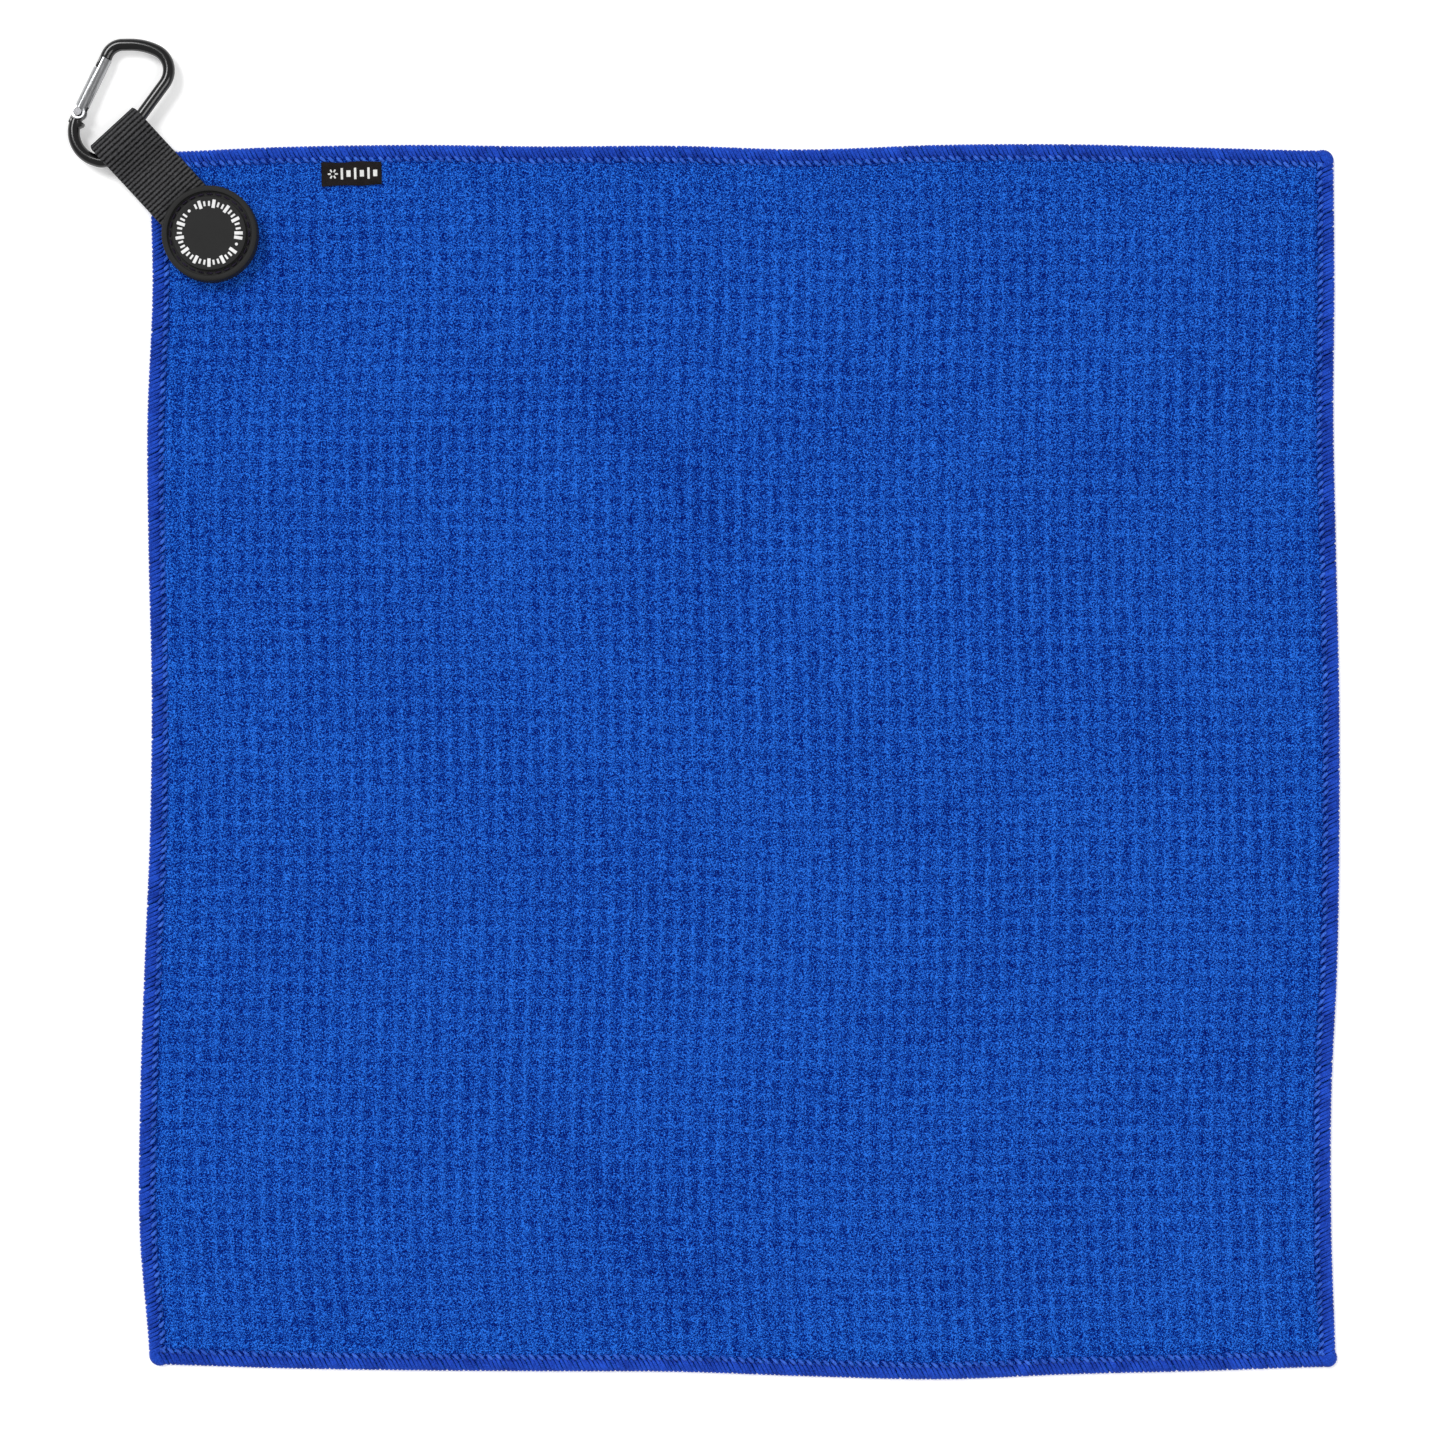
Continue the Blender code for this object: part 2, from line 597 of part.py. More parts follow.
def make_plunger_and_spring(material, gate_axis):
    """Plunger on the lug's cam end, and the coil spring that pushes it."""
    tip = LUG_TOP + CLEARANCE
    back = tip + PLUNGER_LENGTH
    add_object("spring_plunger", lying_disc_mesh(PLUNGER_RADIUS, tip, back), material, gate_axis)

    wire = SPRING_WIRE_RADIUS
    radius = PLUNGER_RADIUS - wire
    start = back + PLUNGER_TRAVEL + CLEARANCE + wire
    end = SLOT_TOP + BORE_LENGTH - CLEARANCE - wire
    count = SPRING_TURNS * SPRING_POINTS_PER_TURN
    points = []
    for step in range(count + 1):
        angle = math.tau * step / SPRING_POINTS_PER_TURN
        along = start + (end - start) * step / count
        points.append((along, radius * math.cos(angle), radius * math.sin(angle)))
    add_object("gate_spring", tube_mesh(points, wire, 1), material, gate_axis)


def main():
    """Build the towel and everything on it."""
    cloth = finish("blue_waffle_cloth", (21, 73, 171), 0.95)
    hem_thread = finish("blue_hem_thread", (23, 62, 161), 0.85)
    label = finish("black_label_weave", (26, 24, 24), 0.9)
    webbing = finish("black_webbing", (38, 38, 40), 0.8)
    rubber = finish("charcoal_rubber", (51, 51, 50), 0.65)
    backing = finish("black_backing", (24, 24, 26), 0.7)
    thread = finish("black_thread", (20, 20, 24), 0.8)
    anodised = finish("black_anodised", (22, 22, 24), 0.25, 1.0)
    bright = finish("bright_aluminium", (176, 178, 180), 0.3, 1.0)
    steel = finish("steel", (150, 150, 152), 0.35, 1.0)

    bend_offset = Vector((math.cos(STRAP_DIRECTION), math.sin(STRAP_DIRECTION), 0.0)) * STRAP_BEND
    bend_place = PATCH_CENTRE + bend_offset + Vector((0.0, 0.0, STRAP_MIDDLE))
    heading = Matrix.Rotation(STRAP_DIRECTION, 4, "Z")
    bend_axis = add_empty("strap_bend_axis", Matrix.Translation(bend_place) @ heading)

    make_cloth(cloth)
    make_hems(hem_thread)
    make_label(label)
    make_strap(webbing, bend_axis)
    make_patch(rubber, steel, backing, thread, bend_axis)
    make_carabiner(anodised, bright, steel, bend_axis)


main()
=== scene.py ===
"""Looks of a waffle golf towel: cloth, serged hems, label, webbing strap, magnet patch, carabiner.

Metres, +Z up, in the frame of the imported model.  The towel lies face up, the patch at its top left.
"""

import json
import logging
import math
from collections.abc import Callable, Iterator
from contextlib import contextmanager
from dataclasses import dataclass
from enum import Enum

import bmesh
import bpy
import numpy as np
from mathutils import Matrix, Vector


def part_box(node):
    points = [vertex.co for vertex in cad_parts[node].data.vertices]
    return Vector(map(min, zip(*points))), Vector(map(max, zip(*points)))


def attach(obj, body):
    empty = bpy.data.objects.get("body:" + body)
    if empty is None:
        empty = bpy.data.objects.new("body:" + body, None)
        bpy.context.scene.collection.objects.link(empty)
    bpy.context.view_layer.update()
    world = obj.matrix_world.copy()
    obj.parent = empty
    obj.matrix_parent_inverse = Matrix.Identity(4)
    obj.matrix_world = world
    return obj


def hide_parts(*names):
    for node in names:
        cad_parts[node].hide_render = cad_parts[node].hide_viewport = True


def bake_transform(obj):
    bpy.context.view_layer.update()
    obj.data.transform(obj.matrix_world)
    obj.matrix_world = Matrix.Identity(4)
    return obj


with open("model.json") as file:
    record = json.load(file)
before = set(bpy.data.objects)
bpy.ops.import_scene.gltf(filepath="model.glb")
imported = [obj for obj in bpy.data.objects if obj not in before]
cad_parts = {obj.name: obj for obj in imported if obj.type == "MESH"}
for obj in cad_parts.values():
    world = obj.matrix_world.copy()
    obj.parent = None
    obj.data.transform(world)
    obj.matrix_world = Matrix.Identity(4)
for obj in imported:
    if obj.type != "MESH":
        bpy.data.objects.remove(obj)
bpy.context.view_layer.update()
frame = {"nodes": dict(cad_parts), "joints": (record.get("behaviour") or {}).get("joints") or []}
LOG = logging.getLogger("golf_towel")
Colour = tuple[float, float, float, float]


class Pick(Enum):
    """Kinds of mesh element that can be selected."""

    VERTS = "VERT"
    EDGES = "EDGE"
    FACES = "FACE"


class Side(Enum):
    """Edges of the towel, each with the turn that brings the top edge to it, in degrees."""

    TOP = 0
    LEFT = 90
    BOTTOM = 180
    RIGHT = 270


def display(red: int, green: int, blue: int) -> Colour:
    """Linear colour of an 8-bit display colour."""
    linear = [((value / 255 + 0.055) / 1.055) ** 2.4 for value in (red, green, blue)]
    return (linear[0], linear[1], linear[2], 1.0)


def ease(value: np.ndarray, low: float, high: float) -> np.ndarray:
    """Smooth step from 0 at low to 1 at high.

    Args:
        value: Numbers to ease.
        low: Where the step starts.
        high: Where the step ends.

    Returns:
        The eased numbers, from 0 to 1.
    """
    share = np.clip((value - low) / (high - low), 0.0, 1.0)
    return share * share * (3 - 2 * share)


def smooth_curve(heights: tuple[float, ...], share: np.ndarray) -> np.ndarray:
    """Read a smooth curve through evenly spaced heights.

    Args:
        heights: Heights at even steps along the curve.
        share: Where to read it, from 0 at the first height to 1 at the last.

    Returns:
        The curve's height at each share.
    """
    last = len(heights) - 1
    known = np.array((heights[0], *heights, heights[-1]))
    along = np.clip(share, 0.0, 1.0) * last
    slot = np.minimum(along.astype(int), last - 1)
    rest = along - slot
    before, start, end, after = (known[slot + step] for step in range(4))
    return 0.5 * (
        2 * start
        + (end - before) * rest
        + (2 * before - 5 * start + 4 * end - after) * rest**2
        + (3 * start - before - 3 * end + after) * rest**3
    )


# ---------------------------------------------------------------------------------------------
# Modelling steps
# ---------------------------------------------------------------------------------------------


def clear_selection() -> None:
    """Deselect every object, so that an operator acts on the new one alone."""
    for thing in bpy.context.selected_objects:
        thing.select_set(False)


def take(name: str) -> bpy.types.Object:
    """Name the newest object and its mesh, and return it."""
    piece = bpy.context.object
    piece.name = name
    piece.data.name = name
    return piece


def hold(piece: bpy.types.Object) -> None:
    """Make a piece the one selected and active object."""
    clear_selection()
    piece.select_set(True)
    bpy.context.view_layer.objects.active = piece


@contextmanager
def editing(piece: bpy.types.Object, pick: Pick = Pick.FACES) -> Iterator[None]:
    """Edit mode on one piece.

    Args:
        piece: The mesh to edit.
        pick: The kind of element that is selected in it.

    Yields:
        Nothing; the mode ends with the block.
    """
    hold(piece)
    bpy.ops.object.mode_set(mode="EDIT")
    bpy.ops.mesh.select_mode(type=pick.value)
    try:
        yield
    finally:
        bpy.ops.object.mode_set(mode="OBJECT")


def select(piece: bpy.types.Object, pick: Pick, test: Callable[[Vector, Vector], bool]) -> None:
    """Select the elements that pass a test, in edit mode.

    Args:
        piece: The mesh being edited.
        pick: The kind of element to select.
        test: Takes an element's middle and normal, and says whether to select it.
    """
    bpy.ops.mesh.select_all(action="DESELECT")
    shape = bmesh.from_edit_mesh(piece.data)
    shape.normal_update()
    items = {Pick.VERTS: shape.verts, Pick.EDGES: shape.edges, Pick.FACES: shape.faces}[pick]
    for item in items:
        verts = [item] if pick is Pick.VERTS else list(item.verts)
        middle = sum((vert.co for vert in verts), Vector()) / len(verts)
        normal = item.normal if pick is Pick.FACES else verts[0].normal
        if test(middle, normal):
            item.select_set(True)
    shape.select_flush_mode()
    bmesh.update_edit_mesh(piece.data)


def read_places(piece: bpy.types.Object) -> np.ndarray:
    """Places of a mesh's verts, one row each."""
    places = np.empty(len(piece.data.vertices) * 3)
    piece.data.vertices.foreach_get("co", places)
    return places.reshape(-1, 3)


def write_places(piece: bpy.types.Object, places: np.ndarray) -> None:
    """Move a mesh's verts to new places."""
    piece.data.vertices.foreach_set("co", np.ascontiguousarray(places).ravel())
    piece.data.update()


def add_grid(name: str, columns: int, rows: int) -> bpy.types.Object:
    """Flat grid of unit size with its middle at the origin.

    Args:
        name: The piece's name.
        columns: Faces along X.
        rows: Faces along Y.

    Returns:
        The new piece.
    """
    clear_selection()
    bpy.ops.mesh.primitive_grid_add(x_subdivisions=columns, y_subdivisions=rows, size=1.0)
    return take(name)


def add_box(name: str, low: Vector, high: Vector, bevel: float = 0.0, steps: int = 2) -> bpy.types.Object:
    """Box between two corners with rounded edges.

    Args:
        name: The piece's name.
        low: Its lowest corner.
        high: Its highest corner.
        bevel: How far its edges are rounded.
        steps: Segments of the rounding.

    Returns:
        The new piece.
    """
    clear_selection()
    bpy.ops.mesh.primitive_cube_add(size=1.0)
    piece = take(name)
    with editing(piece, Pick.EDGES):
        bpy.ops.mesh.select_all(action="SELECT")
        bpy.ops.transform.resize(value=high - low)
        bpy.ops.transform.translate(value=(low + high) / 2)
        if bevel:
            bpy.ops.mesh.bevel(offset=bevel, segments=steps, affect="EDGES")
    return piece


def apply_modifier(piece: bpy.types.Object, kind: str, **settings: object) -> None:
    """Add a modifier to a piece and apply it at once.

    Args:
        piece: The mesh to change.
        kind: The modifier's type.
        **settings: Values set on the modifier.
    """
    hold(piece)
    modifier = piece.modifiers.new(kind.title(), kind)
    for key, value in settings.items():
        setattr(modifier, key, value)
    bpy.ops.object.modifier_apply(modifier=modifier.name)


def join(name: str, pieces: list[bpy.types.Object]) -> bpy.types.Object:
    """Join pieces into one named mesh.

    Args:
        name: The joined piece's name.
        pieces: Pieces to join, the first of which stays.

    Returns:
        The joined piece.
    """
    hold(pieces[0])
    for piece in pieces[1:]:
        piece.select_set(True)
    bpy.ops.object.join()
    return take(name)


def smooth(piece: bpy.types.Object, degrees: float = 40.0) -> None:
    """Shade a piece smooth except at its real edges."""
    hold(piece)
    bpy.ops.object.shade_smooth_by_angle(angle=math.radians(degrees))


def mark(piece: bpy.types.Object, name: str, values: np.ndarray) -> None:
    """Store one number for each vert, for a material to read."""
    attribute = piece.data.attributes.new(name, "FLOAT", "POINT")
    attribute.data.foreach_set("value", np.ascontiguousarray(values, dtype=np.float32))


def sweep(name: str, middles: np.ndarray, across: np.ndarray, through: np.ndarray, sections: np.ndarray,
          capped: bool = True) -> bpy.types.Object:
    """Closed bar swept along a line, from a grid rolled round it.

    Args:
        name: The piece's name.
        middles: The line's points, one row each.
        across: The section's first direction at each point.
        through: The section's second direction at each point.
        sections: The section's outline at each point, as (point, corner, 2).
        capped: Whether its two ends are closed.

    Returns:
        The new piece.
    """
    stations, corners = sections.shape[:2]
    piece = add_grid(name, stations - 1, corners)
    flat = read_places(piece)
    slot = np.rint((flat[:, 0] + 0.5) * (stations - 1)).astype(int)
    corner = np.rint((flat[:, 1] + 0.5) * corners).astype(int) % corners
    offset = sections[slot, corner]
    write_places(piece, middles[slot] + across[slot] * offset[:, :1] + through[slot] * offset[:, 1:])
    with editing(piece, Pick.VERTS):
        bpy.ops.mesh.select_all(action="SELECT")
        bpy.ops.mesh.remove_doubles(threshold=1e-7)
        if capped:
            bpy.ops.mesh.select_all(action="SELECT")
            bpy.ops.mesh.fill_holes(sides=0)
        bpy.ops.mesh.select_all(action="SELECT")
        bpy.ops.mesh.normals_make_consistent(inside=False)
    return piece


def ring_section(corners: int, wide: float, deep: float) -> np.ndarray:
    """Outline of an ellipse as corners, two numbers each."""
    turn = np.linspace(0.0, math.tau, corners, endpoint=False)
    return np.stack([wide * np.cos(turn), deep * np.sin(turn)], axis=1)


# ---------------------------------------------------------------------------------------------
# Finishes
# ---------------------------------------------------------------------------------------------


class Paint:
    """Node tree of one finish, built a node at a time round a Principled shader."""

    def __init__(self, name: str) -> None:
        """Start a material with its shader and object coordinates."""
        self.material = bpy.data.materials.new(name)
        self.material.use_nodes = True
        self.tree = self.material.node_tree
        self.shader = self.tree.nodes["Principled BSDF"]
        self.place = self.add("ShaderNodeTexCoord").outputs["Object"]

    def add(self, kind: str, **settings: object) -> bpy.types.Node:
        """Add a node and set its properties."""
        node = self.tree.nodes.new(kind)
        for key, value in settings.items():
            setattr(node, key, value)
        return node

    def join(self, source: bpy.types.NodeSocket, target: bpy.types.NodeSocket) -> None:
        """Link two sockets."""
        self.tree.links.new(source, target)

    def set(self, **values: object) -> None:
        """Set the shader's own sockets, named with underscores for spaces."""
        for key, value in values.items():
            self.shader.inputs[key.replace("_", " ")].default_value = value

    def noise(self, scale: float, detail: float = 2.0, rough: float = 0.5, bend: float = 0.0,
              stretch: tuple[float, float, float] | None = None) -> bpy.types.NodeSocket:
        """Noise over the piece.

        Args:
            scale: Grains to the metre.
            detail: Finer layers added to it.
            rough: Strength of the finer layers.
            bend: How far the grains are distorted.
            stretch: Scale along each axis, for drawn-out grains.

        Returns:
            The noise's number.
        """
        node = self.add("ShaderNodeTexNoise")
        node.inputs["Scale"].default_value = scale
        node.inputs["Detail"].default_value = detail
        node.inputs["Roughness"].default_value = rough
        node.inputs["Distortion"].default_value = bend
        place = self.place
        if stretch:
            mapping = self.add("ShaderNodeMapping")
            mapping.inputs["Scale"].default_value = stretch
            self.join(self.place, mapping.inputs["Vector"])
            place = mapping.outputs["Vector"]
        self.join(place, node.inputs["Vector"])
        return node.outputs["Fac"]

    def cells(self, scale: float) -> bpy.types.NodeSocket:
        """Distance to the middle of the nearest of many small cells, as of tufts."""
        node = self.add("ShaderNodeTexVoronoi")
        node.inputs["Scale"].default_value = scale
        self.join(self.place, node.inputs["Vector"])
        return node.outputs["Distance"]

    def stored(self, name: str) -> bpy.types.NodeSocket:
        """Number stored on the piece's verts."""
        return self.add("ShaderNodeAttribute", attribute_name=name).outputs["Fac"]

    def sum(self, *terms: tuple[bpy.types.NodeSocket, float], start: float = 0.0) -> bpy.types.NodeSocket:
        """Weighted sum.

        Args:
            *terms: Sockets, each with its weight.
            start: Number that the sum starts from.

        Returns:
            The sum's socket.
        """
        total = None
        for socket, weight in terms:
            node = self.add("ShaderNodeMath", operation="MULTIPLY_ADD")
            self.join(socket, node.inputs[0])
            node.inputs[1].default_value = weight
            if total is None:
                node.inputs[2].default_value = start
            else:
                self.join(total, node.inputs[2])
            total = node.outputs[0]
        return total

    def ramp(self, source: bpy.types.NodeSocket, *stops: tuple[float, Colour]) -> bpy.types.NodeSocket:
        """Colours along a number.

        Args:
            source: The number.
            *stops: Places along it from 0 to 1, each with its colour.

        Returns:
            The colour's socket.
        """
        node = self.add("ShaderNodeValToRGB")
        elements = node.color_ramp.elements
        while len(elements) < len(stops):
            elements.new(0.5)
        for element, (place, colour) in zip(elements, stops):
            element.position = place
            element.color = colour
        self.join(source, node.inputs["Fac"])
        return node.outputs["Color"]

    def colour(self, source: bpy.types.NodeSocket) -> None:
        """Take the shader's colour from a socket."""
        self.join(source, self.shader.inputs["Base Color"])

    def spread(self, source: bpy.types.NodeSocket, low: float, high: float) -> None:
        """Take the shader's roughness from a number, between two values."""
        node = self.add("ShaderNodeMapRange")
        node.inputs["To Min"].default_value = low
        node.inputs["To Max"].default_value = high
        self.join(source, node.inputs["Value"])
        self.join(node.outputs["Result"], self.shader.inputs["Roughness"])

    def bump(self, height: bpy.types.NodeSocket, strength: float, depth: float) -> None:
        """Add a bump of a depth in metres to the shader."""
        node = self.add("ShaderNodeBump")
        node.inputs["Strength"].default_value = strength
        node.inputs["Distance"].default_value = depth
        self.join(height, node.inputs["Height"])
        self.join(node.outputs["Normal"], self.shader.inputs["Normal"])


@dataclass(frozen=True)
class TerryFinish:
    """Fine looped pile: painted shade between the loops, painted highlights on their tips."""

    dark: Colour = display(0, 18, 102)
    middle: Colour = display(0, 56, 165)
    bright: Colour = display(46, 126, 246)
    loops_per_metre: float = 2300.0

    def build(self) -> bpy.types.Material:
        """Make the material."""
        paint = Paint("blue_terry")
        # Painted shade and highlight: where the loop noise is low, and towards the edges of the tufts, the pile is
        # darker, as shade between the loops; where it is high, it is the lit tips. The mottle is the cloth's own
        # uneven tone.
        loops = paint.noise(self.loops_per_metre, detail=1.5, rough=0.6, bend=0.9)
        tufts = paint.cells(self.loops_per_metre * 0.8)
        mottle = paint.noise(55.0, detail=3.0)
        # The stored "deep" number is painted shade: it darkens the waffle pockets, the soft creases and a band just
        # inside the hems.
        deep = paint.stored("deep")
        tone = paint.sum((loops, 5.8), (tufts, -0.7), (mottle, 0.12), (deep, -0.50), start=-2.17)
        paint.colour(paint.ramp(tone, (0.05, self.dark), (0.45, self.middle), (1.0, self.bright)))
        paint.bump(paint.sum((loops, 1.0), (tufts, -0.5)), 0.7, 0.0007)
        paint.set(Roughness=0.95, Sheen_Weight=0.02, Sheen_Roughness=0.5, Specular_IOR_Level=0.03)
        return paint.material


@dataclass(frozen=True)
class YarnFinish:
    """Twisted yarn: fine fibres along the thread, with painted shade in its creases."""

    name: str
    dark: Colour
    bright: Colour
    fibres_per_metre: float = 2600.0
    roughness: float = 0.85

    def build(self) -> bpy.types.Material:
        """Make the material."""
        paint = Paint(self.name)
        fibres = paint.noise(self.fibres_per_metre, detail=2.0, rough=0.6, bend=0.6)
        mottle = paint.noise(220.0, detail=2.0)
        # Low fibre noise is painted shade in the yarn's creases; the mottle is the yarn's own uneven tone.
        tone = paint.sum((fibres, 1.3), (mottle, 0.7), start=-0.5)
        paint.colour(paint.ramp(tone, (0.2, self.dark), (0.8, self.bright)))
        paint.bump(fibres, 0.5, 0.0003)
        paint.set(Roughness=self.roughness, Sheen_Weight=0.05, Specular_IOR_Level=0.12)
        return paint.material


@dataclass(frozen=True)
class WebbingFinish:
    """Black ribbed webbing: painted highlight on the rib tops, painted shade in the grooves, and slanting yarns."""

    # Painted shade in the grooves and a painted highlight on the rib tops of the black webbing.
    groove_shade: Colour = display(4, 4, 5)
    rib: Colour = display(84, 84, 86)
    yarns_per_metre: float = 2100.0

    def build(self) -> bpy.types.Material:
        """Make the material."""
        paint = Paint("black_webbing_weave")
        yarn = paint.noise(self.yarns_per_metre, detail=2.0, rough=0.6)
        rib = paint.stored("rib")
        # Painted highlight and shade: high on a rib is light, low in a groove nearly black.
        tone = paint.sum((rib, 1.0), (yarn, 1.5), start=-0.95)
        paint.colour(paint.ramp(tone, (0.0, self.groove_shade), (1.0, self.rib)))
        paint.bump(yarn, 0.6, 0.0003)
        paint.set(Roughness=0.7, Specular_IOR_Level=0.1)
        return paint.material


@dataclass(frozen=True)
class RubberFinish:
    """Moulded rubber with a fine matt grain and a little dust."""

    name: str
    tone: Colour
    roughness: float = 0.62

    def build(self) -> bpy.types.Material:
        """Make the material."""
        paint = Paint(self.name)
        grain = paint.noise(5200.0, detail=2.0)
        cloud = paint.noise(160.0, detail=3.0)
        lighter = tuple(min(1.0, value * 1.25) for value in self.tone[:3]) + (1.0,)
        darker = tuple(value * 0.8 for value in self.tone[:3]) + (1.0,)
        paint.colour(paint.ramp(paint.sum((grain, 0.5), (cloud, 0.5)), (0.3, darker), (0.7, lighter)))
        paint.spread(cloud, self.roughness - 0.06, self.roughness + 0.08)
        paint.bump(grain, 0.25, 0.00008)
        paint.set(Specular_IOR_Level=0.2)
        return paint.material


@dataclass(frozen=True)
class MetalFinish:
    """Metal: drawn or polished, bare or under a dark gloss."""

    name: str
    tone: Colour
    metallic: float
    roughness: float
    grain_stretch: tuple[float, float, float] = (1.0, 1.0, 1.0)
    scratches: float = 0.12

    def build(self) -> bpy.types.Material:
        """Make the material."""
        paint = Paint(self.name)
        grain = paint.noise(900.0, detail=4.0, rough=0.65, stretch=self.grain_stretch)
        wear = paint.noise(210.0, detail=4.0, rough=0.7)
        lighter = tuple(min(1.0, value * 1.12 + 0.001) for value in self.tone[:3]) + (1.0,)
        darker = tuple(value * 0.85 for value in self.tone[:3]) + (1.0,)
        paint.colour(paint.ramp(paint.sum((grain, 0.6), (wear, 0.4)), (0.35, darker), (0.65, lighter)))
        paint.spread(wear, self.roughness - 0.06, self.roughness + 0.1)
        paint.bump(grain, self.scratches, 0.00005)
        paint.set(Metallic=self.metallic)
        return paint.material


class Finishes:
    """Every material of the object, made once."""

    def __init__(self) -> None:
        """Build all the materials."""
        self.terry = TerryFinish().build()
        self.hem = YarnFinish("blue_hem_yarn", display(2, 34, 128), display(38, 90, 218)).build()
        self.needle = YarnFinish("blue_needle_yarn", display(10, 50, 150), display(70, 124, 240)).build()
        self.webbing = WebbingFinish().build()
        self.label = YarnFinish("black_label_weave", display(8, 6, 7), display(36, 31, 31), 3400.0).build()
        self.white = YarnFinish("white_label_yarn", display(200, 200, 198), display(246, 246, 244), 3400.0).build()
        self.rubber = RubberFinish("charcoal_rubber", display(34, 34, 34)).build()
        self.ink = RubberFinish("white_raised_rubber", display(232, 232, 232), 0.55).build()
        self.stitch = YarnFinish("black_stitch_yarn", display(10, 8, 14), display(48, 40, 60), 3400.0).build()
        self.black_metal = MetalFinish("black_anodised", display(9, 9, 10), 0.0, 0.16, scratches=0.04).build()
        self.bright_metal = MetalFinish(
            "drawn_aluminium", display(164, 165, 167), 1.0, 0.26, (0.6, 0.3, 2.0), 0.2
        ).build()
        self.steel = MetalFinish("rivet_steel", display(104, 104, 106), 1.0, 0.26).build()


def dress(piece: bpy.types.Object, finish: bpy.types.Material) -> None:
    """Give a whole piece one finish."""
    piece.data.materials.clear()
    piece.data.materials.append(finish)


def dress_node(node: str, finish: bpy.types.Material) -> None:
    """Give a CAD node a better finish in each of its material slots."""
    thing = frame["nodes"][node]
    if not thing.material_slots:
        thing.data.materials.append(finish)
    for slot in thing.material_slots:
        slot.material = finish


# ---------------------------------------------------------------------------------------------
# Towel
# ---------------------------------------------------------------------------------------------


@dataclass(frozen=True)
class Outline:
    """Outline of the towel as it lies: how far each edge stands out from a true rectangle.

    Left and right run from the bottom up, top and bottom from left to right, at even steps.
    """

    width: float
    length: float
    left: tuple[float, ...] = (-0.0014, 0.0020, 0.0018, 0.0003, -0.0015, -0.0020, -0.0010, -0.0006, -0.0023, -0.0012)
    right: tuple[float, ...] = (0.0004, -0.0010, -0.0010, 0.0010, 0.0017, 0.0016, 0.0006, -0.0003, 0.0, -0.0003)
    top: tuple[float, ...] = (-0.0011, 0.0007, 0.0014, 0.0009, 0.0011, -0.0001, 0.0014, 0.0016, 0.0005, -0.0006)
    bottom: tuple[float, ...] = (-0.0032, -0.0019, -0.0012, -0.0009, -0.0007, 0.0008, 0.0018, 0.0001, -0.0010, -0.0024)

    def shape(self, places: np.ndarray) -> np.ndarray:
        """Move places on a true rectangle to where they lie.

        Args:
            places: Places, one row each.

        Returns:
            The moved places.
        """
        right_share = places[:, 0] / self.width + 0.5
        up_share = places[:, 1] / self.length + 0.5
        moved = places.copy()
        moved[:, 0] += smooth_curve(self.right, up_share) * right_share
        moved[:, 0] -= smooth_curve(self.left, up_share) * (1 - right_share)
        moved[:, 1] += smooth_curve(self.top, right_share) * up_share
        moved[:, 1] -= smooth_curve(self.bottom, right_share) * (1 - up_share)
        return moved


